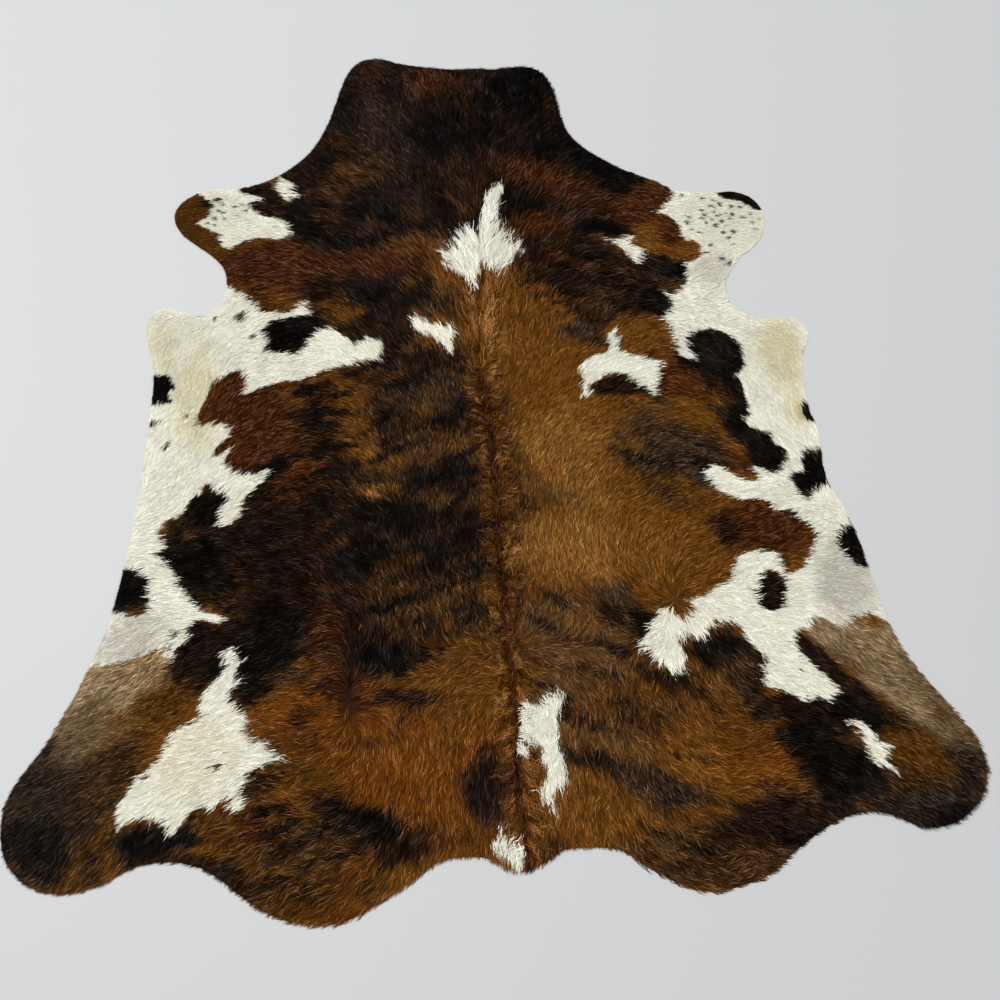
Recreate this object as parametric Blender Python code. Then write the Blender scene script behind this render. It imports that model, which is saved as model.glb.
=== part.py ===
"""Cowhide rug: one hair-on hide lying flat, hair side up, with its legs and neck spread out.

Metres, +Z up, +Y along the spine to the neck. The origin is on the floor, at the middle of the
hide's length and width. The hide is one solid: its flesh side is flat on the floor, and its top is
the surface of the lying coat.
"""

import math

import bmesh
import bpy
import numpy as np
from mathutils import Vector
from mathutils.geometry import delaunay_2d_cdt

MM = 0.001

# Thicknesses
LEATHER = 2.0 * MM          # tanned skin
COAT = 4.2 * MM             # lying hair over the back and flanks
RIM_THICKNESS = 3.0 * MM    # skin and thinned hair at the cut edge
RIM_TAPER = 34.0 * MM       # how far in from the edge the coat reaches its full depth

# Spacing of the surface's points
RIM_STEP = 26.0 * MM        # along the edge
RIM_INSET = 14.0 * MM       # from the edge to the first row inside it
LATTICE_PITCH = 48.0 * MM   # over the open hide
RIDGE_STEP = 34.0 * MM      # along the spine
CREASE_STEP = 30.0 * MM     # along a crease

# Hair ridge along the spine: two low banks with a parting between them
BANK_OFFSET = 18.0 * MM     # from the parting to the top of each bank
BANK_WIDTH = 13.0 * MM      # half width of a bank
PARTING_WIDTH = 6.0 * MM    # half width of the groove
PARTING_SHARE = 0.45        # depth of the groove, as a share of the banks' height

# The cut edge, going round clockwise from the neck as the hide is seen from above.
# Each row: a stretch of the edge, then the places it bends through, (x, y) in millimetres.
RIM_STRETCHES = (
    ("neck", ((-310, 1106), (-274, 1143), (-222, 1151), (-165, 1132), (-7, 1110), (66, 1113),
              (95, 1109), (204, 1118), (244, 1095), (268, 1044))),
    ("right shoulder", ((305, 863), (435, 744), (537, 693), (573, 667))),
    ("right front leg", ((695, 655), (741, 658), (792, 636), (820, 577), (797, 501), (752, 456),
                         (731, 443))),
    ("right elbow", ((675, 358), (680, 289), (743, 244), (849, 242), (871, 192), (850, 139),
                     (833, 74))),
    ("right flank", ((830, -20), (840, -83), (838, -221), (875, -337), (915, -607),
                     (943, -687))),
    ("right hind leg", ((1062, -896), (1050, -981), (981, -1043), (896, -1056), (816, -1021),
                        (762, -1014), (693, -1030))),
    ("right rump", ((591, -1084), (534, -1123), (387, -1148), (276, -1096), (215, -1053),
                    (89, -1045))),
    ("tail", ((75, -1055), (-2, -1080), (-73, -1047))),
    ("left rump", ((-167, -1046), (-193, -1060), (-377, -1150), (-507, -1128), (-670, -1019))),
    ("left hind leg", ((-777, -1009), (-862, -1043), (-938, -1053), (-1002, -1031), (-1052, -974),
                       (-1060, -872), (-973, -725))),
    ("left flank", ((-876, -490), (-810, 131))),
    ("left elbow", ((-836, 259), (-828, 303), (-797, 326), (-697, 300), (-648, 339))),
    ("left front leg", ((-648, 442), (-761, 557), (-780, 606), (-766, 649), (-702, 692),
                        (-612, 696))),
    ("left shoulder", ((-520, 731), (-433, 805), (-383, 892))),
)

# The spine from neck to tail: (y, x, height of the hair banks), in millimetres
SPINE = (
    (1085, 14, 0.6),
    (925, 13, 2.0),
    (650, 28, 4.0),
    (385, 24, 5.5),
    (206, 3, 6.0),
    (30, 6, 4.5),
    (-190, 17, 4.0),
    (-440, 10, 5.0),
    (-765, 12, 6.0),
    (-935, 15, 5.5),
    (-1062, 20, 1.5),
)

# Creases and pleats: name, from (x, y), to (x, y), half width, height (below 0 is a trough), in mm
CREASES = (
    ("across the left rump", (-490, -811), (-153, -789), 15, -1.8),
    ("down the left flank", (-361, -371), (-360, -700), 17, -1.3),
    ("across the right rump", (127, -644), (282, -600), 15, -1.2),
    ("pleat inside the right elbow", (600, 310), (705, 428), 19, 2.2),
    ("pleat inside the left elbow", (-690, 118), (-600, 216), 19, 1.8),
    ("left of the neck", (-285, 1000), (-262, 830), 17, -1.2),
)

# Slow swells of a hide that has been rolled up: wavelength in metres, heading in degrees from +X,
# phase in degrees, height in millimetres
SWELLS = (
    (0.74, 12, 40, 0.50),
    (0.52, 63, 150, 0.45),
    (0.39, 118, 260, 0.40),
    (0.27, 161, 75, 0.30),
    (0.21, 35, 310, 0.22),
)

# Average colour, roughness and metallic value of the coat
COAT_COLOUR = (0.105, 0.045, 0.020, 1.0)
COAT_ROUGHNESS = 0.62
COAT_METALLIC = 0.0


def clear_scene():
    for existing in list(bpy.data.objects):
        bpy.data.objects.remove(existing, do_unlink=True)


def closed_curve(bends, step):
    """Evenly spaced points on a closed centripetal Catmull-Rom curve through the bends."""
    dense = []
    count = len(bends)
    for index in range(count):
        before, start, end, after = (bends[(index + shift) % count] for shift in (-1, 0, 1, 2))
        knots = np.cumsum([0.0] + [math.sqrt(np.linalg.norm(b - a)) for a, b in
                                   ((before, start), (start, end), (end, after))])
        along = np.linspace(knots[1], knots[2], 40, endpoint=False)[:, None]

        def blend(low, high, from_knot, to_knot):
            share = (along - knots[from_knot]) / (knots[to_knot] - knots[from_knot])
            return low + (high - low) * share

        first = blend(before, start, 0, 1)
        middle = blend(start, end, 1, 2)
        last = blend(end, after, 2, 3)
        dense.append(blend(blend(first, middle, 0, 2), blend(middle, last, 1, 3), 1, 2))
    dense = np.concatenate(dense)
    gaps = np.linalg.norm(np.roll(dense, -1, axis=0) - dense, axis=1)
    travelled = np.concatenate([[0.0], np.cumsum(gaps)])
    closed = np.vstack([dense, dense[:1]])
    places = np.linspace(0.0, travelled[-1], round(travelled[-1] / step), endpoint=False)
    return np.column_stack([np.interp(places, travelled, closed[:, axis]) for axis in (0, 1)])


def rim_outline():
    """The cut edge, anticlockwise as seen from above."""
    bends = np.array([place for _, places in RIM_STRETCHES for place in places]) * MM
    return closed_curve(bends[::-1], RIM_STEP)


def distance_to_rim(points, rim):
    """Each point's distance to the edge, and whether it lies inside it."""
    start, end = rim, np.roll(rim, -1, axis=0)
    run = end - start
    offset = points[:, None, :] - start[None, :, :]
    share = np.clip((offset * run).sum(axis=2) / (run * run).sum(axis=1), 0.0, 1.0)
    distance = np.linalg.norm(offset - share[..., None] * run, axis=2).min(axis=1)
    straddles = (start[:, 1] > points[:, None, 1]) != (end[:, 1] > points[:, None, 1])
    rise = np.where(run[:, 1] == 0.0, 1.0, run[:, 1])
    crossing = start[:, 0] + run[:, 0] * (points[:, None, 1] - start[:, 1]) / rise
    inside = (straddles & (points[:, None, 0] < crossing)).sum(axis=1) % 2 == 1
    return distance, inside


def distance_to_segment(points, start, end):
    run = end - start
    share = np.clip((points - start) @ run / (run @ run), 0.0, 1.0)
    return np.linalg.norm(points - start - share[:, None] * run, axis=1)


def spine_at(y):
    """The spine's x and the height of its hair banks at y."""
    rows = np.array(SPINE)[::-1] * MM
    return np.interp(y, rows[:, 0], rows[:, 1]), np.interp(y, rows[:, 0], rows[:, 2])


def spine_relief(points):
    """Two soft banks of longer hair beside the spine and the parting between them."""
    spine_x, bank_height = spine_at(points[:, 1])
    off = np.abs(points[:, 0] - spine_x)
    bank = np.exp(-(((off - BANK_OFFSET) / BANK_WIDTH) ** 2))
    parting = np.exp(-((off / PARTING_WIDTH) ** 2))
    return bank_height * (bank - PARTING_SHARE * parting)


def crease_relief(points):
    relief = np.zeros(len(points))
    for _, start, end, half_width, height in CREASES:
        off = distance_to_segment(points, np.array(start) * MM, np.array(end) * MM)
        relief += height * MM * np.exp(-((off / (half_width * MM)) ** 2))
    return relief


def swell_relief(points):
    relief = np.zeros(len(points))
    for wavelength, heading, phase, height in SWELLS:
        angle = math.radians(heading)
        along = points @ np.array([math.cos(angle), math.sin(angle)])
        relief += height * MM * np.sin(2.0 * math.pi * along / wavelength + math.radians(phase))
    return relief


def coat_height(points, rim):
    """Height of the coat's surface over the floor: the skin and lying hair, thinned near the
    edge, plus the spine's hair banks, the creases and the slow swells."""
    distance, _ = distance_to_rim(points, rim)
    share = np.clip(distance / RIM_TAPER, 0.0, 1.0)
    fullness = share * share * (3.0 - 2.0 * share)
    relief = COAT + spine_relief(points) + crease_relief(points) + swell_relief(points)
    return RIM_THICKNESS + fullness * (LEATHER + relief - RIM_THICKNESS)


def inner_row(rim):
    """The edge moved inwards by RIM_INSET."""
    along = np.roll(rim, -1, axis=0) - np.roll(rim, 1, axis=0)
    along /= np.linalg.norm(along, axis=1)[:, None]
    return rim + RIM_INSET * np.column_stack([-along[:, 1], along[:, 0]])


def spine_rows():
    """Points across the spine's two banks, row after row from neck to tail."""
    top, bottom = SPINE[0][0] * MM, SPINE[-1][0] * MM
    across = np.array([-1.9, -1.0, 0.0, 1.0, 1.9]) * BANK_OFFSET
    y = np.arange(bottom, top, RIDGE_STEP)
    x, _ = spine_at(y)
    return np.column_stack([(x[:, None] + across).ravel(), np.repeat(y, len(across))])


def crease_rows():
    """Three rows of points along each crease: its line and both its shoulders."""
    rows = []
    for _, start, end, half_width, _ in CREASES:
        start, end = np.array(start) * MM, np.array(end) * MM
        length = np.linalg.norm(end - start)
        along = (end - start) / length
        across = np.array([-along[1], along[0]])
        places = np.linspace(0.0, length, max(2, round(length / CREASE_STEP)))
        for side in (-1.5, 0.0, 1.5):
            rows.append(start + places[:, None] * along + side * half_width * MM * across)
    return np.concatenate(rows)


def spaced(points, kept, gap):
    """The points that lie at least gap away from every kept point."""
    nearest = np.linalg.norm(points[:, None, :] - kept[None, :, :], axis=2).min(axis=1)
    return points[nearest > gap]


def lattice(rim):
    """An even triangular lattice over the hide's bounding box."""
    low, high = rim.min(axis=0), rim.max(axis=0)
    row_gap = LATTICE_PITCH * math.sqrt(0.75)
    rows = []
    for index, y in enumerate(np.arange(low[1], high[1], row_gap)):
        x = np.arange(low[0] + (index % 2) * LATTICE_PITCH / 2.0, high[0], LATTICE_PITCH)
        rows.append(np.column_stack([x, np.full(len(x), y)]))
    return np.concatenate(rows)


def surface_points(rim):
    """Points inside the edge: denser at the edge, the spine and the creases."""
    inner = inner_row(rim)
    features = spaced(spine_rows(), inner, 0.3 * RIM_STEP)
    features = np.concatenate([features, spaced(crease_rows(), features, 0.3 * RIDGE_STEP)])
    kept = np.concatenate([inner, features])
    kept = np.concatenate([kept, spaced(lattice(rim), kept, 0.55 * LATTICE_PITCH)])
    distance, inside = distance_to_rim(kept, rim)
    return kept[inside & (distance > 0.8 * RIM_INSET)]


def coat_triangles(rim, inner_points):
    """The hide's plan as triangles that keep to the edge. The edge's points come first."""
    count = len(rim)
    plan = np.concatenate([rim, inner_points])
    edges = [(index, (index + 1) % count) for index in range(count)]
    flat_points = [Vector(place) for place in plan]
    places, _, corners, *_ = delaunay_2d_cdt(flat_points, edges, [], 0, 1e-6, False)
    if len(places) != len(plan):
        raise RuntimeError("two points of the hide's plan fell together")
    triangles = np.array([list(corner) for corner in corners])
    _, inside = distance_to_rim(plan[triangles].mean(axis=1), rim)
    return triangles[inside]


def hide_mesh():
    """A closed mesh: coat surface, cut edge and flat flesh side."""
    rim = rim_outline()
    plan = np.concatenate([rim, surface_points(rim)])
    heights = coat_height(plan, rim)
    shape = bmesh.new()
    top = [shape.verts.new((x, y, z)) for (x, y), z in zip(plan, heights)]
    bottom = [shape.verts.new((x, y, 0.0)) for x, y in rim]
    for corners in coat_triangles(rim, plan[len(rim):]):
        shape.faces.new([top[corner] for corner in corners])
    for index in range(len(rim)):
        after = (index + 1) % len(rim)
        shape.faces.new((bottom[index], bottom[after], top[after], top[index]))
    shape.faces.new(bottom[::-1])
    bmesh.ops.recalc_face_normals(shape, faces=shape.faces)
    mesh = bpy.data.meshes.new("hide")
    shape.to_mesh(mesh)
    shape.free()
    mesh.shade_smooth()
    mesh.set_sharp_from_angle(angle=math.radians(40))
    return mesh


def coat_material():
    material = bpy.data.materials.new("cowhide_coat")
    material.use_nodes = True
    shader = material.node_tree.nodes["Principled BSDF"]
    shader.inputs["Base Color"].default_value = COAT_COLOUR
    shader.inputs["Roughness"].default_value = COAT_ROUGHNESS
    shader.inputs["Metallic"].default_value = COAT_METALLIC
    material.diffuse_color = COAT_COLOUR
    return material


def build_hide():
    mesh = hide_mesh()
    mesh.materials.append(coat_material())
    hide = bpy.data.objects.new("hide", mesh)
    bpy.context.scene.collection.objects.link(hide)
    return hide


clear_scene()
build_hide()
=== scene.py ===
"""Looks of the hair-on cowhide rug: the skin, its lying coat lock by lock, the longer hair beside
the spine, a pale floor, soft light and the camera.

Metres, +Z up, +Y along the spine to the neck. The origin is on the floor under the middle of the
hide. Every surface is worked out with numpy and comes out the same each run.
"""

import math

import bpy
import numpy as np
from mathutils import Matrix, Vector
from mathutils.geometry import delaunay_2d_cdt


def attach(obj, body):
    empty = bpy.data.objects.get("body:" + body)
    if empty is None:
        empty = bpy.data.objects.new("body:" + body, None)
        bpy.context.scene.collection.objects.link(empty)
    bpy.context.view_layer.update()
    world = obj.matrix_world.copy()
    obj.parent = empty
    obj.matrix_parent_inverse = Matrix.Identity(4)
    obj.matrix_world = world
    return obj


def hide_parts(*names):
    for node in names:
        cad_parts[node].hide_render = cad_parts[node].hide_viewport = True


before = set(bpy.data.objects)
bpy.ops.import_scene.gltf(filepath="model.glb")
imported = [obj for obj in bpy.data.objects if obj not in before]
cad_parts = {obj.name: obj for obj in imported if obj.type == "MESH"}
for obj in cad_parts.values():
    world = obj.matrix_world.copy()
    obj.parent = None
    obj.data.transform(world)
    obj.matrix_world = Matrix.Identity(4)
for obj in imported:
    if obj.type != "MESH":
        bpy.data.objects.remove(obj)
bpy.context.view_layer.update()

MM = 0.001

# Thicknesses, as in the solid
LEATHER = 2.0 * MM
COAT = 4.2 * MM
RIM_THICKNESS = 3.0 * MM
RIM_TAPER = 34.0 * MM
BANK_OFFSET = 18.0 * MM
BANK_WIDTH = 13.0 * MM
PARTING_WIDTH = 6.0 * MM
PARTING_SHARE = 0.45
EDGE_SINK = 0.22            # how steeply the coat sinks past the edge
LEAST_COAT = 0.9 * MM       # it sinks no lower than this

# Noise, curves and the charts that slow fields are read from
NOISE_TABLE = 128           # cells along a side before the noise repeats
CURVE_SHARES = 40           # points worked out between two bends of a curve
RIM_STEP = 14.0 * MM        # between the edge's points in the charts
CHART_PITCH = 4.0 * MM
CHART_MARGIN = 0.06
FAR = 0.06                  # distance given to places beyond a patch's surroundings
PATCH_MARGIN = 0.03         # surroundings of a patch or a fleck
DISTANCE_BLOCK = 8192       # points taken at a time
LIE_BLOCK = 16384
LIE_REACH = 0.045           # readings of the lie nearer than this count much alike
LENGTH_REACH = 0.15         # the same for lengths, as the square of a share of their radius

# Where zones fade, from full to nothing, as shares of their size
TONE_FADE = (0.55, 1.25)
BRINDLE_FADE = (0.6, 1.2)
CRINKLE_FADE = (0.5, 1.2)
FLECK_FADE = (0.7, 1.15)

# Brindle
STREAK_FALL = 0.30          # how steeply the streaks fall away from the spine
STREAK_DRAW = 0.22          # how little they change across the body
STREAK_BEND = 0.022         # how far slower noise shifts them along the body

# Borders of the white patches
PATCH_WOBBLE = 1.6 * MM     # in and out between tufts
PATCH_BLUR = 0.9 * MM       # in and out between single locks
PATCH_EDGE = 0.5 * MM       # half width of the border itself
WHITE_DRAWN_IN = 2.0 * MM   # white patches are drawn in by this, because white tips show most

# Skin mesh
SKIN_STEP = 8.0 * MM        # along the edge
SKIN_PITCH = 13.0 * MM      # over the hide
SKIN_INSET = 6.0 * MM
SKIN_SHARE = 0.55           # height of the undercoat, as a share of the coat's height
WALL_MAP = 6.0 * MM         # width that the standing edge takes in the map for baking

# Locks of hair
LOCKS_A_PIECE = 58000
TUFT_SPACING = 8.0 * MM
TUFT_TABLE = 256            # cells along a side before the tufts repeat
LOCK_WIDTH = 1.5 * MM
ROOT_INSET = 0.8 * MM       # from the edge to the outermost roots
SHORT_HAIR = 15.0 * MM      # up to this length roots stand closest
FEWEST_ROOTS = 0.3          # share of the roots kept where the hair is longest
SHORTEST_LOCK = 5.0 * MM
LIE_WANDER = 16.0 * MM      # how far the lie of the hair is shifted about
EDGE_LOOK = 4.0 * MM        # how far ahead a lock looks for the edge
LOCK_GATHER = 0.30          # how far a lock's tip is drawn to its tuft's tip
LOCK_WAIST = 0.52           # where along a lock it is widest
ROOT_WIDTH = 0.55           # width at the root, as a share of the waist's
ROOT_LEVEL = 0.50           # height of the root, as a share of the coat's
LEAST_LIFT = 0.4 * MM       # no hair comes nearer to the floor than this
READ_AHEAD = 0.6            # a lock takes its colour from the coat this far along it
READ_SPREAD = 0.34          # and this much nearer or further, so that patches feather

# Painted light and shade on a lock at its two root points, its two waist points and its tip, and
# the share of the painted glint at each
LOCK_SHADES = np.array([0.34, 0.34, 0.86, 0.86, 1.32])
WHITE_LOCK_SHADES = np.array([0.78, 0.78, 0.98, 0.98, 1.03])
LOCK_GLINT_ROWS = (0.0, 0.0, 0.7, 0.7, 1.0)

# Painted highlights on the hair
GLINT = 0.0066              # painted highlight: light that a hair on a tuft's back throws back, whatever its tone
GLINT_TINT = (1.0, 0.90, 0.82)
GLINT_FADE = (0.010, 0.045) # tone of the tip between which hair stops throwing it back
MOST_GLINT = 6.0
# grey tint that painted highlights turn towards
HIGHLIGHT_GREY_TINT = (1.15, 1.0, 0.85)
PALEST = 0.92               # no hair is painted paler than this

# Colour and painted shade along the spine
PARTING_END = 0.105         # where the parting starts, behind the withers
PARTING_REACH = 9.0 * MM
PARTING_STRAY = 5.0 * MM    # how far the parting strays to the side of the spine
SPINE_SHADOW = 24.0 * MM

# Curls beside the spine
CURL_COUNT = 7000
CURL_ROWS = 6               # pairs of points along a curl
CURL_WIDTH = 2.0 * MM
CURL_TUFT = 13.0 * MM
CURL_GATHER = 0.65          # how far the tips of a tuft's curls are drawn together
CURL_WAVE = (22.0 * MM, 30.0 * MM)              # length of a curl's wave
CURL_REACH = 6.0 * MM       # how far past the edge the tips may come
CURL_LEVEL = 0.92           # height of a curl lying flat, as a share of the coat's
RUDDY_FADE = (0.36, 0.42)   # where, behind the withers, curls start to be ruddy
# how far painted highlights on curls turn grey
CURL_HIGHLIGHT_GREYNESS = 0.42
CURL_SHARES = np.arange(CURL_ROWS + 1) / CURL_ROWS

# Orders and maps of the hair
ROW_DEPTH = 0.01            # locks are laid in rows this deep across the hide
STRAND_SHIFT = 40.0         # each hair takes the strand map at a random place this far about
CELL_RIM = 0.08             # bare rim of a hair's square cell in the map for baking
CELL_FILL = 0.84

# The cut edge, clockwise from the neck, (x, y) in millimetres
RIM_STRETCHES = (
    ("neck", ((-310, 1106), (-274, 1143), (-222, 1151), (-165, 1132), (-7, 1110), (66, 1113),
              (95, 1109), (204, 1118), (244, 1095), (268, 1044))),
    ("right shoulder", ((305, 863), (435, 744), (537, 693), (573, 667))),
    ("right front leg", ((695, 655), (741, 658), (792, 636), (820, 577), (797, 501), (752, 456),
                         (731, 443))),
    ("right elbow", ((675, 358), (680, 289), (743, 244), (849, 242), (871, 192), (850, 139),
                     (833, 74))),
    ("right flank", ((830, -20), (840, -83), (838, -221), (875, -337), (915, -607),
                     (943, -687))),
    ("right hind leg", ((1062, -896), (1050, -981), (981, -1043), (896, -1056), (816, -1021),
                        (762, -1014), (693, -1030))),
    ("right rump", ((591, -1084), (534, -1123), (387, -1148), (276, -1096), (215, -1053),
                    (89, -1045))),
    ("tail", ((75, -1055), (-2, -1080), (-73, -1047))),
    ("left rump", ((-167, -1046), (-193, -1060), (-377, -1150), (-507, -1128), (-670, -1019))),
    ("left hind leg", ((-777, -1009), (-862, -1043), (-938, -1053), (-1002, -1031), (-1052, -974),
                       (-1060, -872), (-973, -725))),
    ("left flank", ((-876, -490), (-810, 131))),
    ("left elbow", ((-836, 259), (-828, 303), (-797, 326), (-697, 300), (-648, 339))),
    ("left front leg", ((-648, 442), (-761, 557), (-780, 606), (-766, 649), (-702, 692),
                        (-612, 696))),
    ("left shoulder", ((-520, 731), (-433, 805), (-383, 892))),
)

# The spine from neck to tail: (y, x, height of the hair banks), in millimetres
SPINE = (
    (1085, 14, 0.6),
    (925, 13, 2.0),
    (650, 28, 4.0),
    (385, 24, 5.5),
    (206, 3, 6.0),
    (30, 6, 4.5),
    (-190, 17, 4.0),
    (-440, 10, 5.0),
    (-765, 12, 6.0),
    (-935, 15, 5.5),
    (-1062, 20, 1.5),
)

# Lie of the long hair beside the parting: y, heading of its tips on the left and on the right of
# the parting in degrees, its length, how far out it is rooted in millimetres, and its swing
SPINE_LIE = (
    (700, 80, 68, 62, 22, 0.16),
    (600, 100, 76, 62, 40, 0.16),
    (500, 116, 62, 64, 86, 0.18),
    (430, 112, 68, 58, 88, 0.20),
    (400, 100, 80, 58, 50, 0.24),
    (300, 103, 80, 66, 40, 0.26),
    (200, 108, 74, 62, 34, 0.32),
    (130, 125, 50, 44, 24, 0.55),
    (85, 165, 15, 34, 18, 0.60),
    (-60, 160, 30, 32, 18, 0.70),
    (-300, 140, 40, 36, 20, 0.75),
    (-520, 150, 45, 34, 20, 0.95),
    (-640, 190, 350, 32, 20, 0.95),
    (-800, 215, 325, 34, 18, 0.75),
    (-1040, 245, 295, 38, 22, 0.60),
)

# Where the hair is crinkled: x, y, radius in millimetres, strength
CRINKLES = (
    (190, -640, 270, 1.0),
    (-70, -520, 170, 0.9),
    (-150, -655, 150, 1.0),
    (-170, -260, 280, 0.6),
    (-250, 640, 230, 0.6),
    (310, 430, 230, 0.6),
    (330, -950, 270, 0.6),
    (-450, -960, 270, 0.6),
    (0, 960, 320, 0.5),
)

# Creases and pleats: name, from (x, y), to (x, y), half width, height, in millimetres
CREASES = (
    ("across the left rump", (-490, -811), (-153, -789), 15, -1.8),
    ("down the left flank", (-361, -371), (-360, -700), 17, -1.3),
    ("across the right rump", (127, -644), (282, -600), 15, -1.2),
    ("pleat inside the right elbow", (600, 310), (705, 428), 19, 2.2),
    ("pleat inside the left elbow", (-690, 118), (-600, 216), 19, 1.8),
    ("left of the neck", (-285, 1000), (-262, 830), 17, -1.2),
)

# Slow swells: wavelength in metres, heading in degrees, phase in degrees, height in millimetres
SWELLS = (
    (0.74, 12, 40, 0.50),
    (0.52, 63, 150, 0.45),
    (0.39, 118, 260, 0.40),
    (0.27, 161, 75, 0.30),
    (0.21, 35, 310, 0.22),
)

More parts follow.
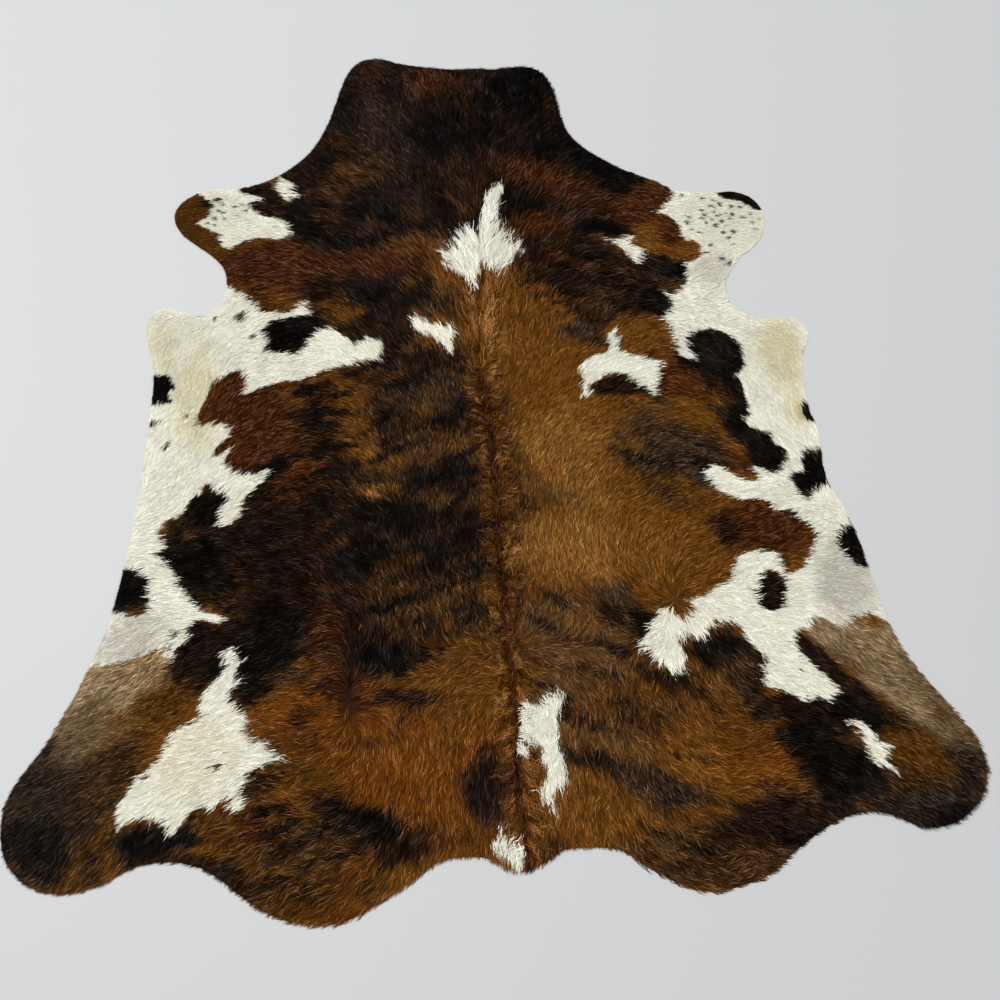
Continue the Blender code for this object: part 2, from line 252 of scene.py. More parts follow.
# Lie of the hair: (x, y) in millimetres and the heading of its tips in degrees from +X
LIE = (
    (32, 1035, 90), (-85, 1000, 112), (-227, 1002, 126), (-282, 1076, 142), (-177, 822, 124),
    (-66, 820, 107), (-289, 789, 137), (-372, 689, 138), (-184, 652, 127), (-48, 648, 105),
    (-453, 691, 155), (-400, 591, 160), (-506, 626, 169), (-611, 645, 179), (-716, 647, 185),
    (-762, 616, 197), (-648, 549, 185), (-557, 531, 181), (-453, 496, 169), (-322, 492, 146),
    (-191, 489, 136), (-69, 517, 120), (-581, 422, 188), (-453, 387, 169), (-325, 368, 144),
    (-143, 362, 128), (-39, 358, 99), (-199, 272, 124), (-302, 246, 134), (-403, 279, 172),
    (-504, 283, 207), (-605, 316, 227), (-704, 290, 227), (-802, 264, 220), (-784, 148, 245),
    (-725, 174, 245), (-697, 89, 245), (-624, 58, 228), (-527, 54, 212), (-430, 50, 197),
    (-343, 74, 164), (-271, 16, 135), (-198, -15, 101), (-87, -20, 91), (-98, 239, 123),
    (-30, 90, 91), (-693, -48, 239), (-574, -53, 218), (-454, -58, 202), (-358, -63, 180),
    (-237, -68, 101), (-142, -126, 78), (-764, -45, 239), (-758, -175, 228), (-800, -249, 211),
    (-655, -129, 228), (-502, -162, 206), (-407, -167, 193), (-312, -171, 130), (-253, -174, 108),
    (-147, -231, 82), (-46, -157, 86), (-686, -255, 215), (-571, -261, 203), (-455, -279, 187),
    (-338, -273, 136), (-269, -302, 111), (-151, -308, 89), (-58, -338, 88), (-729, -315, 182),
    (-615, -328, 175), (-501, -334, 177), (-397, -332, 161), (-340, -372, 126), (-226, -403, 102),
    (-111, -434, 87), (-792, -396, 199), (-726, -388, 161), (-613, -418, 156), (-500, -436, 172),
    (-399, -442, 151), (-342, -469, 132), (-229, -499, 107), (-116, -529, 92), (-853, -486, 204),
    (-767, -468, 193), (-678, -473, 182), (-567, -480, 185), (-500, -530, 213), (-433, -546, 213),
    (-588, -571, 222), (-434, -614, 192), (-300, -600, 64), (-234, -615, 73), (-784, -559, 215),
    (-779, -648, 211), (-883, -685, 209), (-775, -724, 197), (-957, -796, 206), (-875, -802, 195),
    (-970, -877, 210), (-1002, -963, 217), (-930, -997, 224), (-853, -974, 237), (-764, -951, 232),
    (-663, -929, 227), (-830, -856, 203), (-729, -822, 197), (-668, -763, 192), (-618, -680, 213),
    (-521, -665, 185), (-434, -692, 176), (-392, -782, 186), (-456, -767, 176), (-562, -813, 182),
    (-603, -862, 194), (-623, -901, 220), (-477, -881, 174), (-518, -959, 201), (-538, -1017, 212),
    (-457, -1003, 195), (-457, -1062, 201), (-374, -989, 190), (-395, -1047, 197),
    (-457, -1119, 221), (-376, -1125, 215), (-314, -1092, 220), (-272, -1046, 236),
    (-229, -1020, 246), (-303, -701, 17), (-316, -787, 298), (-261, -747, 288), (-242, -834, 249),
    (-308, -872, 232), (-351, -910, 201), (-172, -731, 265), (-179, -860, 261), (-247, -938, 247),
    (-142, -966, 267), (-91, -845, 268), (-81, -1011, 271), (-19, -763, 266), (-32, -933, 268),
    (119, 1034, 74), (188, 996, 57), (264, 1033, 48), (133, 852, 61), (221, 886, 49),
    (268, 779, 47), (346, 708, 27), (430, 706, 346), (495, 653, 349), (147, 678, 52),
    (255, 641, 40), (89, 645, 82), (79, 513, 73), (190, 543, 38), (331, 573, 19), (467, 552, 340),
    (591, 634, 349), (702, 614, 346), (782, 578, 346), (630, 515, 344), (725, 496, 10),
    (585, 402, 30), (665, 384, 39), (523, 452, 328), (400, 456, 349), (334, 362, 7),
    (469, 358, 340), (226, 350, 36), (146, 353, 58), (98, 354, 84), (83, 173, 90), (171, 199, 66),
    (269, 256, 51), (347, 238, 40), (455, 250, 358), (564, 261, 337), (721, 225, 334),
    (840, 206, 298), (790, 87, 288), (107, 56, 47), (209, 52, 43), (313, 62, 31), (416, 58, 6),
    (531, 39, 337), (664, 48, 302), (654, 152, 311), (782, -29, 289), (714, -111, 300),
    (618, -65, 317), (514, -74, 341), (412, -69, 8), (110, -56, 44), (210, -61, 41),
    (311, -65, 31), (177, -141, 59), (326, -148, 36), (476, -155, 3), (603, -161, 341),
    (707, -220, 346), (821, -226, 278), (98, -191, 74), (193, -222, 77), (291, -227, 56),
    (390, -231, 26), (514, -238, 6), (639, -244, 357), (87, -320, 80), (182, -325, 86),
    (279, -330, 69), (376, -335, 36), (502, -316, 22), (626, -322, 15), (780, -304, 17),
    (858, -360, 289), (804, -434, 16), (713, -391, 21), (588, -397, 22), (489, -405, 28),
    (406, -388, 63), (78, -420, 90), (171, -437, 89), (264, -455, 98), (336, -459, 113),
    (455, -465, 21), (519, -518, 346), (619, -499, 12), (716, -505, 16), (813, -510, 335),
    (881, -539, 312), (279, -529, 145), (336, -544, 166), (352, -604, 201), (383, -630, 252),
    (437, -586, 292), (508, -590, 305), (496, -660, 305), (574, -618, 319), (669, -623, 330),
    (726, -579, 313), (605, -713, 336), (423, -679, 282), (67, -540, 90), (137, -544, 94),
    (227, -573, 124), (104, -636, 326), (196, -641, 315), (262, -669, 243), (73, -725, 280),
    (163, -730, 279), (254, -736, 268), (344, -742, 293), (436, -748, 315), (793, -607, 319),
    (860, -635, 324), (910, -732, 336), (797, -702, 319), (736, -767, 336), (635, -806, 346),
    (535, -843, 13), (464, -861, 341), (591, -913, 5), (690, -876, 336), (810, -862, 325),
    (960, -827, 330), (1013, -898, 325), (864, -931, 323), (763, -967, 323), (673, -961, 326),
    (917, -1000, 320), (1002, -984, 311), (535, -973, 356), (447, -966, 321), (365, -918, 305),
    (304, -871, 289), (215, -865, 268), (105, -858, 264), (38, -875, 275), (184, -948, 255),
    (93, -983, 262), (268, -975, 284), (303, -1039, 311), (390, -1045, 337), (501, -1043, 341),
    (612, -1041, 336), (707, -1016, 326), (174, -1029, 285), (252, -1095, 315), (358, -1113, 342),
    (442, -1129, 0), (87, -1043, 296), (46, -1020, 244),
    (-210, -668, 185), (-120, -664, 182), (-40, -660, 185),
    (100, -590, 32), (180, -604, 18), (150, -690, 290),
)

# White patches of the coat, each a closed outline, (x, y) in millimetres
WHITE_PATCHES = (
    ("blaze", ((101, 696), (102, 672), (86, 645), (81, 619), (81, 585), (88, 559), (120, 519),
        (143, 476), (156, 463), (123, 467), (109, 455), (93, 423), (85, 420), (58, 421),
        (40, 425), (30, 444), (18, 425), (9, 401), (-5, 357), (-11, 386), (-23, 402), (-36, 405),
        (-61, 422), (-74, 438), (-92, 441), (-78, 454), (-83, 470), (-74, 485), (-62, 498),
        (-70, 511), (-43, 501), (-56, 523), (-41, 543), (-54, 556), (-28, 542), (-13, 555),
        (-4, 574), (0, 555), (11, 548), (22, 554), (32, 580), (40, 613), (45, 646), (58, 673),
        (73, 690), (87, 696))),
    ("right shoulder fleck", ((368, 509), (392, 505), (412, 508), (446, 520), (438, 500),
        (447, 481), (465, 474), (482, 473), (455, 438), (450, 419), (456, 406), (425, 439),
        (408, 475), (393, 489), (377, 496))),
    ("left of the withers", ((-174, 266), (-152, 289), (-143, 270), (-127, 267), (-123, 258),
        (-104, 263), (-84, 247), (-73, 268), (-67, 244), (-40, 261), (-59, 235), (-69, 202),
        (-65, 184), (-71, 170), (-83, 173), (-100, 200), (-112, 210), (-119, 222), (-150, 229),
        (-162, 238), (-169, 250))),
    ("right chevron", ((363, 241), (344, 217), (334, 200), (340, 181), (329, 158), (291, 148),
        (274, 136), (254, 117), (250, 99), (255, 79), (253, 56), (245, 28), (263, 30), (279, 35),
        (268, 52), (280, 66), (301, 74), (316, 88), (347, 93), (373, 86), (410, 50), (430, 29),
        (444, 19), (449, 34), (449, 51), (457, 71), (457, 91), (462, 106), (477, 120), (432, 136),
        (376, 156), (364, 166), (361, 184), (381, 198), (361, 202))),
    ("left front leg", ((-618, 708), (-604, 681), (-548, 667), (-564, 654), (-585, 644),
        (-563, 614), (-545, 604), (-521, 600), (-500, 593), (-487, 580), (-484, 564), (-476, 548),
        (-482, 535), (-518, 526), (-552, 534), (-593, 525), (-622, 507), (-634, 495), (-663, 514),
        (-655, 524), (-671, 530), (-656, 546), (-680, 556), (-698, 569), (-719, 580), (-732, 583),
        (-689, 611), (-692, 627), (-677, 643), (-695, 654), (-717, 674), (-723, 687),
        (-705, 703))),
    ("left front leg fleck", ((-501, 736), (-474, 712), (-471, 701), (-474, 688), (-447, 671),
        (-474, 662), (-487, 652), (-490, 645), (-498, 652), (-503, 669), (-514, 686), (-517, 696),
        (-511, 709), (-509, 722))),
    ("left elbow and flank", ((-647, 396), (-606, 367), (-573, 336), (-549, 308), (-524, 307),
        (-502, 301), (-484, 303), (-471, 315), (-453, 326), (-430, 350), (-436, 320), (-428, 301),
        (-436, 293), (-474, 285), (-511, 277), (-524, 278), (-541, 264), (-549, 249), (-531, 222),
        (-536, 196), (-533, 187), (-486, 188), (-471, 182), (-449, 190), (-439, 204), (-436, 216),
        (-408, 250), (-391, 255), (-375, 264), (-373, 252), (-340, 227), (-328, 226), (-321, 197),
        (-311, 205), (-303, 220), (-295, 211), (-285, 228), (-272, 216), (-272, 233), (-260, 209),
        (-254, 233), (-245, 194), (-251, 177), (-254, 151), (-287, 155), (-309, 153), (-325, 142),
        (-355, 140), (-397, 128), (-422, 114), (-471, 99), (-496, 103), (-515, 95), (-540, 91),
        (-576, 70), (-598, 71), (-588, 90), (-596, 104), (-584, 112), (-596, 124), (-606, 139),
        (-657, 110), (-669, 99), (-680, 60), (-695, 25), (-704, 12), (-699, -2), (-687, -13),
        (-670, 0), (-658, -14), (-639, -2), (-627, -16), (-615, -19), (-624, -51), (-636, -56),
        (-656, -84), (-651, -95), (-637, -87), (-628, -72), (-614, -75), (-632, -109),
        (-615, -133), (-596, -142), (-561, -146), (-518, -127), (-532, -161), (-572, -197),
        (-588, -215), (-590, -230), (-585, -240), (-594, -255), (-610, -269), (-632, -275),
        (-644, -274), (-650, -266), (-640, -257), (-652, -243), (-640, -239), (-645, -227),
        (-620, -208), (-634, -194), (-670, -169), (-681, -174), (-683, -192), (-699, -199),
        (-732, -248), (-754, -254), (-769, -268), (-776, -283), (-770, -300), (-756, -321),
        (-769, -330), (-784, -334), (-768, -344), (-756, -362), (-742, -375), (-733, -390),
        (-732, -406), (-718, -429), (-678, -471), (-629, -492), (-607, -489), (-629, -504),
        (-648, -510), (-666, -502), (-684, -501), (-699, -511), (-703, -523), (-696, -535),
        (-702, -546), (-713, -556), (-723, -558), (-731, -569), (-733, -590), (-737, -598),
        (-741, -600), (-750, -583), (-755, -572), (-766, -562), (-777, -564), (-790, -572),
        (-809, -575), (-830, -583), (-883, -591), (-927, -593), (-897, -484), (-857, -344),
        (-830, -120), (-826, 66), (-849, 237), (-848, 307), (-805, 335), (-705, 314),
        (-666, 348))),
    ("left haunch", ((-636, -568), (-603, -568), (-598, -581), (-583, -594), (-565, -595),
        (-587, -609), (-593, -622), (-593, -638), (-571, -639), (-586, -654), (-601, -655),
        (-607, -670), (-603, -688), (-570, -716), (-567, -731), (-574, -748), (-567, -764),
        (-552, -775), (-535, -776), (-509, -804), (-490, -811), (-505, -821), (-559, -838),
        (-568, -848), (-563, -860), (-576, -868), (-577, -890), (-569, -905), (-575, -917),
        (-587, -920), (-598, -915), (-615, -885), (-619, -895), (-629, -905), (-643, -914),
        (-658, -905), (-670, -906), (-680, -913), (-715, -955), (-727, -966), (-729, -950),
        (-738, -933), (-744, -929), (-755, -928), (-776, -914), (-786, -920), (-802, -923),
        (-815, -930), (-828, -946), (-838, -892), (-810, -853), (-804, -840), (-761, -805),
        (-751, -794), (-746, -775), (-738, -763), (-737, -744), (-718, -741), (-701, -731),
        (-691, -721), (-677, -714), (-677, -694), (-672, -670), (-661, -660), (-651, -645),
        (-636, -635), (-620, -603), (-631, -586))),
    ("right of the loin", ((33, -722), (51, -728), (61, -735), (77, -732), (89, -721),
        (109, -711), (127, -706), (135, -717), (123, -723), (119, -768), (110, -787), (110, -811),
        (104, -830), (115, -852), (113, -873), (117, -891), (129, -908), (94, -925), (82, -937),
        (87, -956), (98, -973), (79, -967), (67, -954), (49, -924), (68, -898), (74, -881),
        (71, -866), (57, -853), (67, -840), (68, -828), (56, -822), (40, -828), (34, -842),
        (33, -857), (18, -846), (13, -830), (16, -815), (28, -805), (23, -792), (25, -770),
        (39, -729))),
    ("tail tuft", ((-27, -997), (-12, -1026), (8, -1037), (11, -1054), (7, -1073), (-2, -1086),
        (-16, -1075), (-31, -1048), (-55, -1033), (-67, -1022), (-39, -1014), (-44, -1001),
        (-65, -996), (-48, -993))),
    ("right leg and flank", ((573, 682), (567, 641), (556, 628), (541, 618), (532, 615),
        (536, 604), (520, 591), (562, 567), (572, 543), (579, 510), (590, 490), (605, 496),
        (619, 482), (621, 459), (629, 456), (613, 440), (589, 428), (570, 428), (578, 412),
        (569, 387), (568, 364), (542, 334), (524, 325), (490, 348), (476, 367), (501, 329),
        (517, 310), (519, 285), (502, 264), (483, 258), (499, 242), (509, 217), (508, 193),
        (518, 166), (508, 157), (519, 136), (538, 126), (569, 119), (549, 162), (544, 183),
        (558, 201), (583, 212), (611, 214), (636, 207), (656, 194), (672, 178), (680, 163),
        (682, 142), (680, 115), (683, 100), (668, 89), (654, 72), (665, 57), (669, 4), (673, -19),
        (670, -38), (653, -58), (664, -72), (680, -84), (700, -91), (721, -89), (719, -111),
        (726, -131), (746, -134), (748, -154), (739, -175), (710, -204), (693, -200), (683, -186),
        (651, -179), (655, -185), (659, -204), (670, -213), (651, -220), (626, -216), (581, -182),
        (563, -170), (544, -177), (527, -190), (546, -228), (581, -259), (609, -271), (642, -270),
        (671, -277), (688, -286), (690, -302), (704, -305), (723, -301), (741, -312), (750, -328),
        (768, -342), (783, -369), (771, -389), (765, -407), (734, -448), (712, -460), (692, -461),
        (686, -446), (685, -410), (644, -400), (620, -399), (594, -405), (577, -417), (558, -459),
        (546, -475), (525, -482), (485, -504), (473, -508), (444, -504), (456, -539), (442, -555),
        (422, -561), (407, -550), (385, -520), (368, -534), (364, -546), (338, -568), (336, -584),
        (322, -595), (312, -618), (315, -635), (330, -626), (334, -650), (351, -663), (370, -673),
        (380, -687), (399, -682), (411, -682), (415, -667), (416, -648), (411, -631), (409, -612),
        (430, -602), (449, -615), (464, -611), (477, -600), (480, -583), (493, -577), (514, -578),
        (539, -573), (557, -581), (563, -617), (577, -630), (588, -647), (606, -667), (594, -684),
        (591, -724), (594, -735), (617, -737), (639, -743), (656, -755), (665, -767), (684, -768),
        (697, -760), (718, -761), (737, -783), (742, -763), (767, -755), (765, -741), (751, -729),
        (740, -714), (716, -690), (693, -660), (685, -643), (682, -629), (691, -608), (706, -597),
        (716, -607), (734, -574), (751, -575), (762, -581), (776, -594), (789, -602), (807, -598),
        (836, -578), (852, -581), (868, -575), (902, -589), (927, -600), (922, -466), (886, -309),
        (868, -201), (853, -3), (902, 204), (879, 254), (733, 262), (698, 335), (730, 404),
        (833, 543), (837, 628), (756, 678))),
    ("right hind leg streak", ((764, -812), (806, -817), (811, -833), (821, -845), (832, -868),
        (849, -867), (856, -876), (843, -891), (839, -908), (858, -935), (867, -957), (855, -941),
        (831, -923), (815, -921), (806, -910), (800, -894), (799, -877), (792, -845), (786, -831),
        (770, -828))),
)

# Dark patches inside the white ones or on the edge
DARK_PATCHES = (
    ("right elbow", ((547, 183), (560, 200), (583, 212), (611, 214), (636, 207), (672, 178),
        (680, 160), (682, 142), (680, 115), (683, 100), (667, 86), (635, 84), (610, 94),
        (570, 122), (550, 150))),
    ("right flank", ((645, -451), (675, -460), (682, -478), (681, -498), (674, -534), (660, -546),
        (639, -552), (619, -543), (607, -530), (621, -519), (606, -503), (625, -492), (618, -482),
        (631, -475), (636, -458))),
    ("right leg tip", ((694, 673), (702, 643), (718, 634), (760, 622), (781, 609), (801, 592),
        (838, 598), (797, 663))),
    ("right rim 1", ((820, -10), (842, -6), (843, -66), (820, -62), (813, -45), (814, -25))),
    ("right rim 2", ((792, -150), (804, -145), (844, -142), (855, -249), (826, -239), (810, -244),
        (794, -259), (780, -280), (763, -263), (747, -227), (755, -209), (779, -205), (790, -191),
        (778, -183), (789, -170))),
    ("right rim 3", ((889, -330), (864, -353), (849, -362), (833, -380), (833, -403), (842, -411),
        (850, -429), (860, -443), (875, -456), (900, -455))),
    ("left rim 1", ((-820, 133), (-788, 129), (-771, 120), (-755, 91), (-769, 86), (-776, 75),
        (-763, 56), (-787, 51), (-799, 54), (-820, 47))),
    ("left rim 2", ((-818, 3), (-794, 5), (-791, -3), (-817, -5))),
    ("left rim 3", ((-865, -358), (-831, -375), (-809, -383), (-797, -396), (-798, -415),
        (-795, -436), (-795, -473), (-814, -482), (-838, -480), (-858, -470), (-885, -461))),
)

# Small dark spots in the white hair: x, y, half width, half height, in millimetres
FLECKS = (
    (-602, 292, 14, 15), (-571, 232, 11, 9), (-770, -63, 8, 11), (-667, 289, 6, 7),
    (-726, 16, 5, 8), (-733, -528, 9, 13), (-747, -559, 7, 9), (686, -699, 5, 4),
    (-676, -720, 6, 5), (-776, -833, 6, 5), (-633, -824, 15, 8), (108, -767, 6, 10),
    (-672, 660, 11, 8), (-709, 667, 5, 7), (-656, 643, 7, 7), (-668, 624, 5, 5), (-655, 617, 5, 5),
    (-624, 635, 5, 5), (-603, 642, 5, 5), (-595, 622, 5, 5), (-676, 598, 5, 5), (-650, 597, 5, 5),
    (-675, 578, 5, 5), (-693, 585, 5, 5), (-616, 606, 4, 5), (-518, 571, 5, 5), (599, 646, 6, 6),
    (653, 636, 8, 5), (684, 627, 5, 5), (671, 606, 7, 5), (701, 611, 8, 8), (732, 604, 7, 6),
    (756, 602, 6, 5), (788, 595, 4, 4), (783, 579, 4, 4), (644, 594, 6, 5), (682, 603, 5, 5),
    (679, 588, 5, 5), (652, 577, 6, 5), (696, 578, 4, 4), (711, 582, 4, 4), (730, 576, 6, 6),
    (685, 573, 5, 5), (758, 567, 5, 4), (641, 566, 4, 4), (671, 562, 5, 4), (722, 564, 5, 4),
    (696, 555, 7, 7), (653, 551, 6, 5), (782, 550, 6, 4), (610, 573, 5, 4), (599, 553, 8, 9),
    (678, 542, 8, 8), (706, 540, 6, 4), (788, 526, 5, 4), (627, 520, 6, 4), (696, 518, 7, 5),
    (724, 520, 9, 6), (708, 501, 6, 4), (653, 478, 7, 5), (638, 454, 6, 4), (610, 530, 4, 4),
    (806, 560, 4, 4), (717, 477, 4, 4), (678, 432, 11, 7), (696, 418, 7, 7),
)

# Tones of the hair, red, green and blue as a screen shows them, 0 to 255
TONES = {
    "tan": (138, 92, 36),
    "rust": (112, 68, 17),
    "chestnut": (75, 34, 2),
    "amber": (112, 61, 8),
    "olive": (86, 52, 6),
    "smoke": (104, 71, 40),
    "umber": (62, 38, 12),
    # the next tone paints the cool grey sheen on dark hair
    "cool_sheen": (59, 43, 34),
    "coffee": (29, 12, 3),
    "maroon": (46, 13, 4),
    "black": (6, 3, 2),
    "soot": (46, 34, 24),
    "taupe": (154, 130, 94),
    "ash": (114, 92, 63),
    "cream": (216, 208, 170),
    "white": (233, 231, 213),
    "silver": (192, 186, 174),
}
